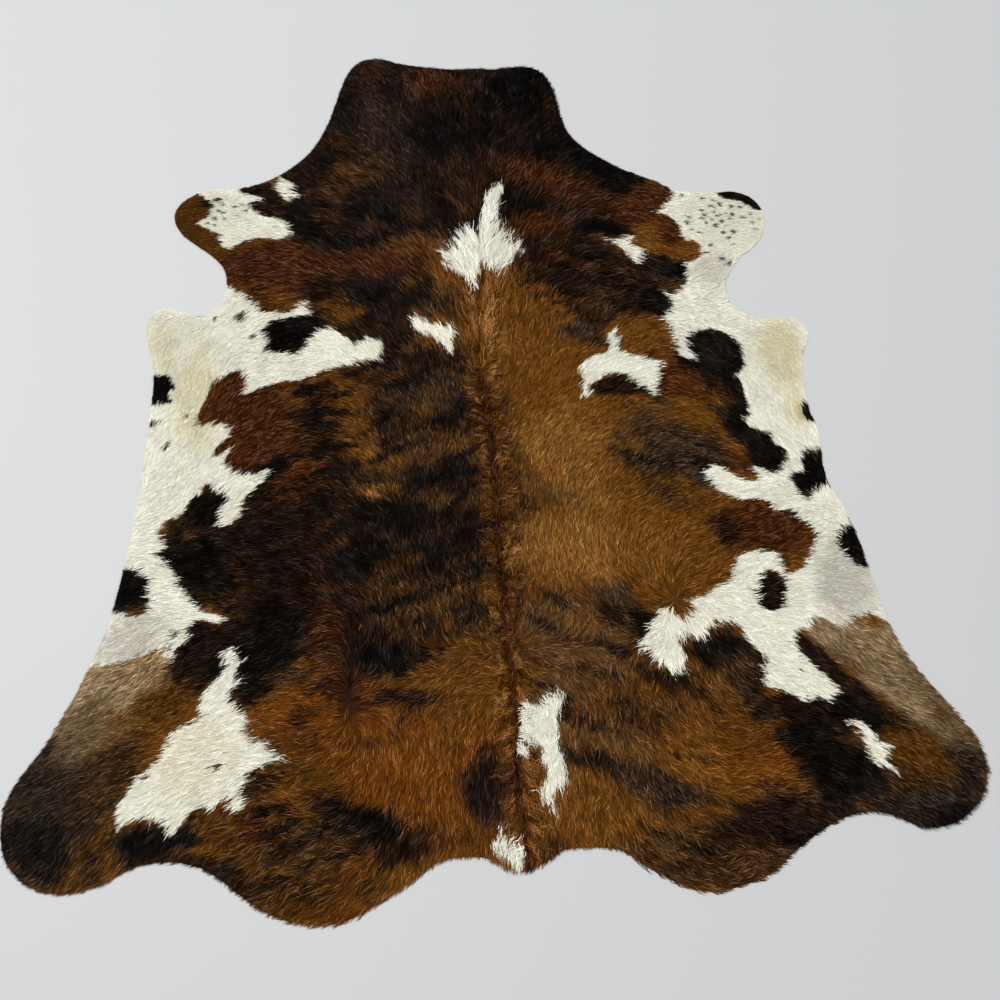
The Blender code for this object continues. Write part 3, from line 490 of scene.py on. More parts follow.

# Patches of the cool tone are painted sheen on dark hair
# Tone patches of the brown coat, later ones over earlier ones:
# tone, x, y, half length, half width, heading of the length in degrees, cover
BROWN_ZONES = (
    # the whole neck, then neck and shoulders left of the spine
    ("coffee", -190, 860, 430, 560, 0, 1.0),
    ("coffee", 200, 860, 340, 560, 0, 1.0),
    ("umber", -255, 1095, 80, 30, 0, 0.15),
    ("chestnut", -100, 1060, 110, 56, 0, 0.8),
    ("chestnut", -240, 1080, 60, 60, 0, 0.35),
    ("cool_sheen", -220, 900, 110, 190, 0, 0.6),
    ("black", -190, 1040, 36, 70, 0, 0.6),
    ("black", -60, 880, 90, 90, 0, 1.0),
    ("black", -325, 960, 40, 70, 15, 0.6),
    ("chestnut", -345, 855, 44, 44, 60, 0.4),
    ("umber", -290, 750, 130, 60, 30, 0.75),
    ("chestnut", -370, 700, 60, 60, 0, 0.6),
    ("black", -395, 775, 32, 30, 0, 0.9),
    ("cool_sheen", -190, 650, 120, 50, 10, 0.2),
    ("umber", -350, 690, 60, 50, 0, 0.35),
    ("umber", -20, 735, 50, 80, 0, 0.35),
    ("black", -80, 590, 60, 50, 0, 0.3),
    ("black", -435, 575, 56, 80, 0, 0.9),
    ("black", -290, 610, 120, 46, 0, 0.85),
    ("black", -320, 512, 140, 24, 0, 0.97),
    ("umber", -150, 600, 50, 34, 0, 0.7),
    ("coffee", -334, 566, 60, 30, 0, 0.8),
    ("chestnut", -380, 604, 46, 26, 0, 0.7),
    ("rust", -315, 738, 60, 34, 20, 0.4),
    ("rust", -150, 500, 105, 36, 0, 0.8),
    ("chestnut", -270, 445, 170, 52, 0, 0.9),
    ("chestnut", -530, 440, 160, 110, 0, 1.0),
    ("coffee", -310, 372, 130, 56, 0, 0.95),
    ("chestnut", -330, 315, 110, 44, 0, 0.4),
    ("coffee", -230, 300, 80, 50, 0, 0.8),
    ("cool_sheen", -120, 320, 60, 50, 0, 0.45),
    ("black", -290, 345, 60, 44, 0, 0.95),
    ("black", -160, 350, 66, 46, 0, 0.9),
    ("rust", -75, 430, 46, 66, 0, 0.85),
    ("umber", -55, 310, 44, 40, 0, 0.7),
    ("coffee", -250, 225, 130, 90, 0, 0.9),
    ("coffee", -170, 130, 140, 80, 0, 0.85),
    ("umber", -210, 120, 130, 40, 0, 0.4),
    ("olive", -745, 615, 52, 80, 0, 1.0),
    ("olive", -700, 530, 80, 36, -40, 0.9),
    ("coffee", -585, 692, 100, 24, 10, 0.9),
    ("coffee", -535, 640, 46, 50, 0, 0.9),
    ("black", -690, 655, 26, 26, 0, 0.8),
    # neck and shoulders, right of the spine
    ("black", 190, 1050, 120, 90, 0, 0.95),
    ("black", 200, 890, 90, 110, 0, 0.8),
    ("cool_sheen", 160, 880, 60, 60, 0, 0.25),
    ("chestnut", 30, 990, 34, 150, 0, 0.22),
    ("chestnut", 255, 965, 24, 70, 0, 0.3),
    ("chestnut", 80, 820, 60, 60, 30, 0.2),
    ("black", 15, 850, 24, 60, 0, 0.8),
    ("black", 62, 960, 46, 110, 0, 0.7),
    ("black", 100, 852, 50, 44, 0, 0.6),
    ("chestnut", 170, 735, 130, 56, -20, 0.7),
    ("rust", 160, 740, 80, 26, -25, 0.2),
    ("black", 350, 785, 120, 46, -40, 0.95),
    ("chestnut", 260, 690, 120, 60, -20, 0.85),
    ("black", 430, 705, 120, 42, -20, 0.95),
    ("chestnut", 525, 655, 56, 46, 0, 0.97),
    ("black", 150, 650, 80, 42, 0, 0.9),
    ("chestnut", 330, 630, 110, 40, 0, 0.5),
    ("chestnut", 200, 560, 110, 44, 0, 0.9),
    ("cool_sheen", 285, 580, 46, 34, 0, 0.6),
    ("black", 370, 540, 100, 24, -8, 0.95),
    ("chestnut", 200, 672, 56, 28, 0, 0.6),
    ("chestnut", 475, 595, 80, 56, 0, 0.95),
    ("chestnut", 555, 530, 56, 60, 0, 0.97),
    ("rust", 600, 460, 52, 44, 0, 0.9),
    ("coffee", 250, 490, 140, 20, 0, 0.3),
    ("chestnut", 250, 445, 130, 32, 0, 0.85),
    ("coffee", 140, 438, 50, 44, 0, 0.7),
    ("coffee", 350, 450, 100, 36, 0, 0.6),
    ("black", 490, 430, 80, 34, -20, 0.8),
    ("black", 250, 368, 110, 40, -10, 0.8),
    ("black", 560, 395, 70, 50, 0, 0.97),
    ("coffee", 370, 350, 180, 120, 0, 0.85),
    ("black", 470, 295, 86, 50, -10, 0.9),
    ("umber", 350, 345, 90, 30, 5, 0.5),
    ("umber", 330, 300, 100, 40, 15, 0.95),
    ("cool_sheen", 265, 218, 70, 38, -15, 0.95),
    ("umber", 330, 185, 50, 26, -10, 0.8),
    ("rust", 445, 212, 90, 48, -10, 0.75),
    # back, left of the spine
    ("amber", -240, -830, 260, 160, 0, 1.0),
    ("tan", -200, -800, 180, 80, 0, 0.2),
    ("amber", -440, -715, 150, 56, 0, 1.0),
    ("coffee", -290, -270, 430, 420, 0, 0.97),
    ("coffee", -600, -350, 190, 160, 0, 1.0),
    ("chestnut", -590, 40, 170, 100, 25, 1.0),
    ("chestnut", -555, -75, 150, 70, 10, 0.97),
    ("black", -440, 75, 60, 18, 15, 0.8),
    ("black", -402, -5, 34, 60, -20, 0.45),
    ("rust", -330, 30, 66, 66, 0, 0.65),
    ("rust", -315, -65, 60, 66, -30, 0.8),
    ("tan", -255, -125, 70, 34, -15, 0.6),
    ("rust", -350, -170, 70, 50, 10, 0.2),
    ("tan", -240, -208, 84, 24, -6, 0.95),
    ("cool_sheen", -130, 60, 110, 66, 0, 0.6),
    ("black", -225, -25, 56, 26, -10, 0.85),
    ("umber", -120, -95, 110, 46, 0, 0.8),
    ("smoke", -110, -100, 90, 26, 10, 0.5),
    ("black", -150, -182, 100, 20, 0, 0.25),
    ("umber", -100, -240, 80, 26, 0, 0.85),
    ("smoke", -90, -235, 80, 20, 12, 0.5),
    ("black", -170, -300, 170, 40, 5, 0.25),
    ("umber", -190, -330, 150, 14, 14, 0.5),
    ("chestnut", -445, -170, 76, 56, 20, 0.9),
    ("black", -520, -130, 42, 24, 25, 0.95),
    ("black", -690, -245, 80, 42, 40, 0.85),
    ("black", -670, -400, 110, 76, -50, 0.9),
    ("chestnut", -500, -425, 120, 34, 10, 0.25),
    ("chestnut", -330, -400, 110, 40, 10, 0.45),
    ("black", -130, -390, 70, 28, 20, 0.8),
    ("umber", -120, -490, 150, 80, 0, 0.9),
    ("smoke", -130, -480, 130, 26, 30, 0.45),
    ("rust", -190, -432, 60, 14, 25, 0.2),
    ("rust", -85, -442, 62, 13, 40, 0.95),
    ("black", -90, -500, 60, 16, 30, 0.25),
    ("coffee", -405, -560, 90, 100, 0, 0.5),
    ("chestnut", -400, -560, 130, 56, 80, 0.75),
    ("coffee", -570, -560, 160, 130, 0, 1.0),
    ("black", -540, -565, 120, 90, 12, 0.9),
    ("black", -250, -618, 80, 44, 0, 0.9),
    ("umber", -230, -520, 90, 34, 10, 0.5),
    ("rust", -90, -675, 110, 100, 0, 0.9),
    ("rust", 18, -200, 28, 430, 0, 0.6),
    ("rust", -24, 60, 28, 44, 0, 0.8),
    ("coffee", -24, -40, 28, 34, 0, 0.6),
    ("rust", -16, -130, 26, 40, 0, 0.6),
    ("coffee", -16, -190, 22, 30, 0, 0.6),
    ("rust", -8, -255, 30, 36, 0, 0.9),
    ("coffee", -30, -385, 44, 36, 0, 0.7),
    ("rust", -24, -480, 28, 44, 0, 0.7),
    ("coffee", -225, -700, 66, 20, -5, 0.75),
    ("black", -690, -590, 56, 80, -20, 0.9),
    # haunch and rump, left
    ("chestnut", -340, -680, 44, 60, 0, 0.7),
    ("umber", -470, -635, 60, 24, 0, 0.8),
    ("coffee", -345, -590, 110, 12, 88, 0.5),
    ("chestnut", -330, -798, 115, 9, 4, 0.8),
    ("umber", -540, -835, 60, 60, 0, 0.85),
    ("olive", -440, -865, 90, 50, -10, 0.7),
    ("coffee", -380, -930, 110, 30, -15, 0.8),
    ("black", -335, -948, 70, 28, -22, 1.0),
    ("black", -275, -985, 60, 28, -10, 1.0),
    ("umber", -480, -990, 130, 60, 0, 0.9),
    ("chestnut", -600, -950, 90, 42, -10, 0.95),
    ("amber", -620, -935, 60, 22, -10, 0.3),
    ("umber", -430, -1090, 200, 60, 0, 0.9),
    ("olive", -450, -1120, 130, 44, 0, 0.9),
    ("amber", -365, -1125, 60, 30, 10, 0.6),
    ("amber", -320, -1050, 76, 30, 20, 0.6),
    ("coffee", -230, -1015, 80, 36, 20, 0.9),
    ("coffee", -610, -1050, 60, 36, -30, 0.8),
    ("coffee", -50, -900, 66, 84, 0, 1.0),
    ("umber", -40, -930, 30, 40, 0, 0.4),
    ("amber", -120, -1005, 95, 26, 0, 0.85),
    ("umber", -120, -1005, 95, 26, 0, 0.4),
    ("soot", -1000, -900, 170, 220, 30, 0.97),
    ("taupe", -885, -650, 165, 80, 10, 1.0),
    ("ash", -900, -730, 80, 60, 30, 0.9),
    ("ash", -820, -725, 60, 40, 30, 0.6),
    ("black", -985, -960, 80, 60, -40, 0.6),
    ("coffee", -690, -600, 50, 70, -20, 0.95),
    ("olive", -755, -695, 84, 50, 40, 1.0),
    ("umber", -850, -820, 120, 50, 50, 0.9),
    ("olive", -880, -985, 110, 28, 52, 0.85),
    ("black", -750, -962, 130, 36, 5, 0.97),
    ("coffee", -700, -1020, 90, 34, -12, 0.75),
    ("olive", -632, -945, 64, 30, -15, 0.9),
    ("taupe", -768, -584, 40, 26, 0, 0.85),
    # back, right of the spine
    ("rust", 85, 250, 110, 190, 0, 1.0),
    ("tan", 40, 250, 36, 170, 0, 0.5),
    ("rust", 200, 90, 130, 80, 0, 0.95),
    ("tan", 190, -120, 140, 150, 0, 0.9),
    ("tan", 215, -370, 190, 120, 0, 0.97),
    ("rust", 390, -400, 120, 110, 0, 0.95),
    ("tan", 390, -390, 110, 60, 0, 0.3),
    ("coffee", 350, 56, 110, 30, -8, 0.95),
    ("rust", 350, -25, 90, 34, -10, 0.9),
    ("smoke", 440, -20, 60, 40, -10, 0.6),
    ("chestnut", 545, 75, 130, 66, -10, 1.0),
    ("rust", 540, 60, 60, 30, -10, 0.4),
    ("black", 650, 55, 30, 74, 10, 0.9),
    ("black", 640, -60, 76, 46, -50, 0.95),
    ("black", 705, -145, 60, 60, 0, 0.97),
    ("chestnut", 590, -165, 60, 44, -30, 0.95),
    ("smoke", 395, -95, 90, 60, -30, 0.75),
    ("umber", 470, -140, 150, 120, -25, 0.7),
    ("cool_sheen", 475, -145, 120, 90, -25, 0.85),
    ("umber", 450, -250, 90, 40, -15, 0.3),
    ("smoke", 165, -235, 50, 14, -5, 0.75),
    ("umber", 100, -170, 110, 20, -62, 0.5),
    ("chestnut", 650, -350, 130, 84, 0, 1.0),
    ("coffee", 560, -345, 40, 46, 0, 0.7),
    # haunch and rump, right
    ("umber", 180, -590, 170, 150, 0, 0.7),
    ("smoke", 165, -600, 150, 130, -40, 0.95),
    ("coffee", 122, -487, 50, 15, -40, 0.7),
    ("cool_sheen", 275, -500, 70, 30, -20, 0.6),
    ("coffee", 255, -533, 34, 20, -40, 0.8),
    ("coffee", 106, -558, 64, 13, -34, 0.7),
    ("coffee", 210, -600, 56, 15, -10, 0.6),
    ("coffee", 205, -671, 62, 15, -20, 0.6),
    ("coffee", 265, -628, 30, 16, -25, 0.7),
    ("black", 330, -575, 36, 60, 0, 0.85),
    ("rust", 190, -560, 36, 40, 0, 0.35),
    ("rust", 430, -530, 42, 36, 0, 0.97),
    ("black", 500, -635, 90, 50, 0, 0.95),
    ("coffee", 570, -700, 60, 56, 0, 0.9),
    ("chestnut", 380, -725, 76, 28, -15, 0.5),
    ("coffee", 380, -705, 60, 17, -8, 0.8),
    ("smoke", 535, -680, 50, 36, 0, 0.5),
    ("umber", 300, -770, 130, 60, -20, 0.75),
    ("smoke", 200, -810, 120, 60, -20, 0.7),
    ("black", 190, -872, 90, 20, -18, 0.75),
    ("rust", 430, -840, 100, 70, 0, 0.97),
    ("amber", 545, -850, 100, 90, 0, 0.75),
    ("olive", 560, -850, 80, 60, 0, 0.5),
    ("amber", 600, -900, 80, 50, 0, 0.5),
    ("umber", 470, -760, 80, 26, 0, 0.3),
    ("soot", 300, -935, 100, 50, -20, 0.85),
    ("cool_sheen", 385, -955, 60, 24, 0, 0.75),
    ("tan", 400, -885, 70, 34, 0, 0.4),
    ("black", 690, -850, 96, 84, 0, 0.97),
    ("rust", 185, -965, 110, 54, 0, 0.97),
    ("umber", 430, -1080, 240, 80, 0, 0.9),
    ("smoke", 320, -1045, 90, 36, 0, 0.5),
    ("coffee", 570, -1015, 190, 60, 5, 0.9),
    ("olive", 440, -1080, 110, 30, 0, 0.5),
    ("coffee", 620, -775, 90, 36, 0, 0.9),
    ("coffee", 70, -1045, 40, 32, 0, 0.5),
    ("umber", 930, -915, 235, 225, 0, 1.0),
    ("taupe", 835, -635, 140, 60, -35, 1.0),
    ("taupe", 880, -735, 180, 50, -48, 1.0),
    ("ash", 975, -750, 180, 30, -62, 0.9),
    ("ash", 860, -690, 130, 30, -48, 0.5),
    ("coffee", 745, -690, 150, 24, -46, 0.95),
    ("ash", 1000, -850, 70, 70, -60, 0.9),
    ("black", 810, -810, 100, 44, -30, 0.97),
    ("black", 740, -940, 110, 76, 0, 0.97),
    ("olive", 890, -880, 90, 56, -20, 1.0),
    ("amber", 900, -890, 60, 40, -20, 0.6),
    ("soot", 1005, -950, 66, 66, -50, 0.85),
    ("soot", 880, -1030, 220, 70, 3, 0.97),
    ("coffee", 730, -1030, 80, 44, 10, 0.6),
    ("black", 955, -1045, 60, 40, 5, 0.6),
    ("olive", 915, -913, 92, 48, -32, 0.9),
    ("ash", 800, -684, 60, 24, -46, 0.85),
    ("coffee", 840, -788, 96, 22, -48, 0.7),
    ("taupe", 930, -625, 60, 40, 0, 1.0),
    # dark patches among the white
    ("black", 620, 150, 110, 90, 0, 1.0),
    ("soot", 605, 155, 60, 50, 0, 0.6),
    ("coffee", 650, -505, 70, 80, 0, 1.0),
    ("black", 740, 640, 60, 50, 0, 1.0),
    ("coffee", 800, 615, 50, 50, 0, 1.0),
    ("coffee", 820, -40, 40, 60, 0, 1.0),
    ("black", 800, -210, 90, 100, 0, 1.0),
    ("black", 860, -400, 60, 90, 0, 1.0),
    ("black", -800, 90, 70, 70, 0, 1.0),
    ("black", -810, 0, 40, 24, 0, 1.0),
    ("black", -840, -420, 80, 80, 0, 1.0),
    ("olive", -830, -492, 80, 26, 0, 0.8),
    ("black", -470, 240, 120, 76, 15, 1.0),
)

# Where the coat is streaked across the body with dark and with rusty hair:
# x, y, half sizes, strength
BRINDLE_ZONES = (
    (-200, -200, 300, 460, 0.95),
    (-480, -420, 260, 160, 0.6),
    (-450, -970, 260, 140, 0.7),
    (280, -740, 290, 230, 0.6),
    (470, -100, 190, 160, 0.6),
    (330, 400, 260, 150, 0.6),
    (-250, 700, 260, 260, 0.4),
    (-200, 300, 260, 90, 0.5),
    (480, -1010, 280, 100, 0.6),
)

# Tints of the white hair: tone, x, y, half length, half width, heading, cover
WHITE_ZONES = (
    ("cream", -800, 200, 50, 70, 0, 0.5),
    ("cream", -700, 60, 60, 160, 0, 0.7),
    ("cream", 790, 130, 60, 110, 0, 0.8),
    ("cream", 800, -30, 40, 50, 0, 0.7),
    ("taupe", 812, -40, 24, 34, 0, 0.4),
    ("silver", 835, -490, 80, 120, 0, 0.8),
    ("silver", 640, 400, 60, 50, 30, 0.6),
    ("silver", -830, -535, 90, 70, 0, 0.7),
    ("cream", -680, -800, 120, 100, 30, 0.35),
)

# Length of the hair and how far it reaches past the edge: x, y, radius, length, reach, in mm
LENGTHS = (
    (0, 600, 420, 34, 5),
    (40, 500, 130, 50, 6),
    (10, 270, 110, 48, 6),
    (-700, 600, 120, 13, 2),
    (700, 570, 140, 12, 2),
    (-790, 230, 110, 13, 2),
    (800, 150, 110, 14, 2),
    (0, -100, 420, 22, 5),
    (-780, -400, 150, 26, 3),
    (840, -420, 150, 24, 6),
    (-250, -950, 300, 32, 10),
    (350, -950, 320, 32, 8),
    (-900, -850, 220, 22, 6),
    (930, -850, 220, 24, 8),
    (1010, -940, 130, 27, 15),
    (0, -1040, 90, 40, 12),
    (200, 1080, 220, 30, 9),
    (-250, 1100, 160, 28, 5),
)

# Camera: place and the way it is turned, fitted to the photograph
CAMERA_PLACE = (-0.19695, -1.12994, 2.22717)
CAMERA_TURN = (22.0568, -3.8269, -4.3881)      # degrees about x, y and z
CAMERA_LENS = 36.0
CAMERA_SENSOR = 36.0
CAMERA_RANGE = (0.05, 60.0)                     # nearest and farthest that it sees

# Floor and light
FLOOR_HALF = 9.0
FLOOR_DROP = 0.4 * MM                           # from the flesh side down to the floor
FLOOR_COLOUR = (0.530, 0.535, 0.540, 1.0)
DAYLIGHT_COLOUR = (0.97, 0.98, 1.0, 1.0)
DAYLIGHT_STRENGTH = 0.60
WINDOW_PLACE = (-4.9, 3.0, 11.3)
WINDOW_SIZE = 6.5
WINDOW_POWER = 1280.0
WINDOW_COLOUR = (1.0, 0.99, 0.97)


# ---------------------------------------------------------------- fields over the hide

def smoothstep(low, high, value):
    """0 below low, 1 above high, and an eased climb between them."""
    share = np.clip((value - low) / (high - low), 0.0, 1.0)
    return share * share * (3.0 - 2.0 * share)


def toward(values, share, goal):
    """Values moved towards a goal by each row's share."""
    return values + share[:, None] * (goal - values)


def soft_noise(points, size, seed):
    """Smooth noise from -1 to 1: random values on a square lattice of the given size, turned by
    an angle of its own, each cell filled by eased blending of its four corners."""
    chance = np.random.default_rng(seed)
    turn = chance.uniform(0.0, math.pi)
    table = chance.uniform(-1.0, 1.0, (NOISE_TABLE, NOISE_TABLE))
    cosine, sine = math.cos(turn), math.sin(turn)
    x = (points[..., 0] * cosine - points[..., 1] * sine) / size
    y = (points[..., 0] * sine + points[..., 1] * cosine) / size
    column, row = np.floor(x), np.floor(y)
    across, up = x - column, y - row
    across = across ** 3 * (across * (across * 6.0 - 15.0) + 10.0)
    up = up ** 3 * (up * (up * 6.0 - 15.0) + 10.0)
    i, j = column.astype(int) % NOISE_TABLE, row.astype(int) % NOISE_TABLE
    i_next, j_next = (i + 1) % NOISE_TABLE, (j + 1) % NOISE_TABLE
    low = table[i, j] * (1.0 - across) + table[i_next, j] * across
    high = table[i, j_next] * (1.0 - across) + table[i_next, j_next] * across
    return low * (1.0 - up) + high * up


def closed_curve(bends, step):
    """Evenly spaced points on a closed centripetal Catmull-Rom curve through the bends. Each
    bend's knot follows the last by the square root of the distance between the two."""
    before, after = np.roll(bends, 1, axis=0), np.roll(bends, -1, axis=0)
    later = np.roll(bends, -2, axis=0)
    spans = [np.sqrt(np.linalg.norm(b - a, axis=1))
             for a, b in ((before, bends), (bends, after), (after, later))]
    knots = np.cumsum([np.zeros(len(bends))] + spans, axis=0)
    share = np.linspace(0.0, 1.0, CURVE_SHARES, endpoint=False)
    along = (knots[1][:, None] + (knots[2] - knots[1])[:, None] * share)[..., None]

    def blend(low, high, start, end):
        """From low at the knot start to high at the knot end, in a straight line."""
        start, end = knots[start][:, None, None], knots[end][:, None, None]
        return low + (high - low) * (along - start) / (end - start)

    first = blend(before[:, None], bends[:, None], 0, 1)
    middle = blend(bends[:, None], after[:, None], 1, 2)
    last = blend(after[:, None], later[:, None], 2, 3)
    dense = blend(blend(first, middle, 0, 2), blend(middle, last, 1, 3), 1, 2).reshape(-1, 2)
    gaps = np.linalg.norm(np.roll(dense, -1, axis=0) - dense, axis=1)
    travelled = np.concatenate([[0.0], np.cumsum(gaps)])
    closed = np.vstack([dense, dense[:1]])
    places = np.linspace(0.0, travelled[-1], round(travelled[-1] / step), endpoint=False)
    return np.column_stack([np.interp(places, travelled, closed[:, axis]) for axis in (0, 1)])


def signed_distance(points, outline):
    """Distance from each point to a closed outline, above 0 inside it: the least distance to
    its edges, signed by how many edges a ray along +X crosses. Points are taken in blocks."""
    start, end = outline, np.roll(outline, -1, axis=0)
    run = end - start
    square = (run * run).sum(axis=1)
    rise = np.where(run[:, 1] == 0.0, 1.0, run[:, 1])
    result = np.empty(len(points))
    for low in range(0, len(points), DISTANCE_BLOCK):
        block = points[low:low + DISTANCE_BLOCK]
        offset_x = block[:, None, 0] - start[None, :, 0]
        offset_y = block[:, None, 1] - start[None, :, 1]
        share = np.clip((offset_x * run[:, 0] + offset_y * run[:, 1]) / square, 0.0, 1.0)
        gap = np.hypot(offset_x - share * run[:, 0], offset_y - share * run[:, 1]).min(axis=1)
        straddles = (start[:, 1] > block[:, None, 1]) != (end[:, 1] > block[:, None, 1])
        crossing = start[:, 0] - run[:, 0] * (start[:, 1] - block[:, None, 1]) / rise
        inside = (straddles & (block[:, None, 0] < crossing)).sum(axis=1) % 2 == 1
        result[low:low + DISTANCE_BLOCK] = np.where(inside, gap, -gap)
    return result


# The edge's bends run anticlockwise from here on
RIM_BENDS = np.array([place for _, places in RIM_STRETCHES for place in places])[::-1] * MM
RIM = closed_curve(RIM_BENDS, RIM_STEP)
CHART_LOW = RIM.min(axis=0) - CHART_MARGIN
CHART_COUNT = np.ceil((RIM.max(axis=0) + CHART_MARGIN - CHART_LOW) / CHART_PITCH).astype(int) + 1


def chart_points():
    """Every node of the chart: a square lattice over the hide and a margin round it."""
    x, y = (CHART_LOW[axis] + np.arange(CHART_COUNT[axis]) * CHART_PITCH for axis in (0, 1))
    return np.stack(np.meshgrid(x, y, indexing="ij"), axis=-1).reshape(-1, 2)


CHART_POINTS = chart_points()


def read_chart(chart, points):
    """Values of a chart at the points, blended between the four nodes round each."""
    chart = chart.reshape(CHART_COUNT[0], CHART_COUNT[1], -1)
    cell = (points - CHART_LOW) / CHART_PITCH
    cell = np.clip(cell, 0.0, CHART_COUNT - 1.001)
    node = cell.astype(int)
    across, up = (cell - node).T[..., None]
    i, j = node.T
    low = chart[i, j] * (1.0 - across) + chart[i + 1, j] * across
    high = chart[i, j + 1] * (1.0 - across) + chart[i + 1, j + 1] * across
    result = low * (1.0 - up) + high * up
    return result[:, 0] if result.shape[1] == 1 else result


def near_distance(outline):
    """A chart of the signed distance to one outline, -FAR away from its surroundings."""
    outline = np.array(outline) * MM
    low, high = outline.min(axis=0) - PATCH_MARGIN, outline.max(axis=0) + PATCH_MARGIN
    close = ((CHART_POINTS > low) & (CHART_POINTS < high)).all(axis=1)
    chart = np.full(len(CHART_POINTS), -FAR)
    chart[close] = signed_distance(CHART_POINTS[close], outline)
    return chart


def patch_chart(patches):
    """A chart of the signed distance to the union of the patches: the greatest of theirs."""
    return np.max([near_distance(outline) for _, outline in patches], axis=0)


def turned_reach(points, x, y, half_length, half_width, heading):
    """Distance from a patch's middle in patch sizes: 1 on the rim of the turned ellipse."""
    angle = math.radians(heading)
    offset = points - np.array([x, y]) * MM
    along = offset @ np.array([math.cos(angle), math.sin(angle)])
    across = offset @ np.array([-math.sin(angle), math.cos(angle)])
    return np.hypot(along / (half_length * MM), across / (half_width * MM))


def tone(name):
    """A tone's red, green and blue as a screen shows them, 0 to 1."""
    return np.array(TONES[name]) / 255.0


def as_light(value):
    """Screen values as the amounts of light that the shader takes."""
    return np.where(value <= 0.04045, value / 12.92, ((value + 0.055) / 1.055) ** 2.4)


def zone_chart(zones, ground, wobble):
    """A chart of colour: the ground tone, then each soft-edged zone over it, its border moved in
    and out by the wobble."""
    colour = np.tile(tone(ground), (len(CHART_POINTS), 1))
    for name, x, y, half_length, half_width, heading, cover in zones:
        reach = turned_reach(CHART_POINTS, x, y, half_length, half_width, heading) + wobble
        colour = toward(colour, cover * (1.0 - smoothstep(*TONE_FADE, reach)), tone(name))
    return colour


def strength_chart(zones, fade):
    """A chart of the greatest strength of the zones, each fading out over its own ellipse."""
    strength = np.zeros(len(CHART_POINTS))
    for x, y, half_x, half_y, most in zones:
        reach = turned_reach(CHART_POINTS, x, y, half_x, half_y, 0.0)
        strength = np.maximum(strength, most * (1.0 - smoothstep(*fade, reach)))
    return strength


def brindle_chart():
    """A chart from -1 to 1 of the streaks: above 0 dark hair, below 0 rusty hair. It is noise
    drawn out across the body along lines that fall away from the spine, bent by slower noise,
    times the strength of the zones."""
    bend = STREAK_BEND * soft_noise(CHART_POINTS, 0.10, 31)
    fall = CHART_POINTS[:, 1] + STREAK_FALL * np.abs(CHART_POINTS[:, 0]) + bend
    drawn = np.column_stack([CHART_POINTS[:, 0] * STREAK_DRAW, fall])
    bands = soft_noise(drawn, 0.026, 32) + 0.7 * soft_noise(drawn, 0.011, 33)
    bands += 0.35 * soft_noise(CHART_POINTS, 0.045, 34)
    return strength_chart(BRINDLE_ZONES, BRINDLE_FADE) * np.clip(1.3 * bands, -1.0, 1.0)


def crinkle_chart():
    """A chart from 0 to 1 of how crinkled the hair is."""
    return strength_chart([(x, y, size, size, most) for x, y, size, most in CRINKLES],
                          CRINKLE_FADE)


def lie_chart():
    """A chart of the unit vector that the hair lies along: the readings of LIE, each weighted by
    one over its distance to the fourth power."""
    rows = np.array(LIE, dtype=float)
    places, angles = rows[:, :2] * MM, np.radians(rows[:, 2])
    headings = np.column_stack([np.cos(angles), np.sin(angles)])
    vectors = np.empty((len(CHART_POINTS), 2))
    for low in range(0, len(CHART_POINTS), LIE_BLOCK):
        block = CHART_POINTS[low:low + LIE_BLOCK]
        square = ((block[:, None, :] - places[None, :, :]) ** 2).sum(axis=2)
        vectors[low:low + LIE_BLOCK] = (1.0 / (square + LIE_REACH ** 2) ** 2) @ headings
    return vectors / np.linalg.norm(vectors, axis=1)[:, None]


def length_chart():
    """A chart of hair length and reach past the edge: the rows of LENGTHS, each weighted by one
    over its distance in radii to the fourth power."""
    rows = np.array(LENGTHS, dtype=float) * MM
    square = ((CHART_POINTS[:, None, :] - rows[None, :, :2]) ** 2).sum(axis=2)
    weight = 1.0 / (square / rows[:, 2] ** 2 + LENGTH_REACH) ** 2
    weight /= weight.sum(axis=1)[:, None]
    return weight @ rows[:, 3:]


def spine_at(y):
    """The spine's x and the height of its hair banks at y."""
    rows = np.array(SPINE)[::-1] * MM
    return np.interp(y, rows[:, 0], rows[:, 1]), np.interp(y, rows[:, 0], rows[:, 2])


def parting_stray(points):
    """How far the parting's colour and curls stray to the right of the spine: slow noise."""
    return PARTING_STRAY * soft_noise(points, 0.045, 43)


def spine_relief(points):
    """Two soft banks of longer hair beside the spine and the parting between them."""
    spine_x, bank_height = spine_at(points[:, 1])
    off = np.abs(points[:, 0] - spine_x)
    bank = np.exp(-(((off - BANK_OFFSET) / BANK_WIDTH) ** 2))
    parting = np.exp(-((off / PARTING_WIDTH) ** 2))
    return bank_height * (bank - PARTING_SHARE * parting)


def crease_relief(points):
    """Each crease's height times a bell of the distance to its line."""
    relief = np.zeros(len(points))
    for _, start, end, half_width, height in CREASES:
        start, run = np.array(start) * MM, (np.array(end) - np.array(start)) * MM
        share = np.clip((points - start) @ run / (run @ run), 0.0, 1.0)
        off = np.linalg.norm(points - start - share[:, None] * run, axis=1)
        relief += height * MM * np.exp(-((off / (half_width * MM)) ** 2))
    return relief


def swell_relief(points):
    """The sum of a few long sine waves."""
    relief = np.zeros(len(points))
    for wavelength, heading, phase, height in SWELLS:
        angle = math.radians(heading)
        along = points @ np.array([math.cos(angle), math.sin(angle)])
        relief += height * MM * np.sin(2.0 * math.pi * along / wavelength + math.radians(phase))
    return relief


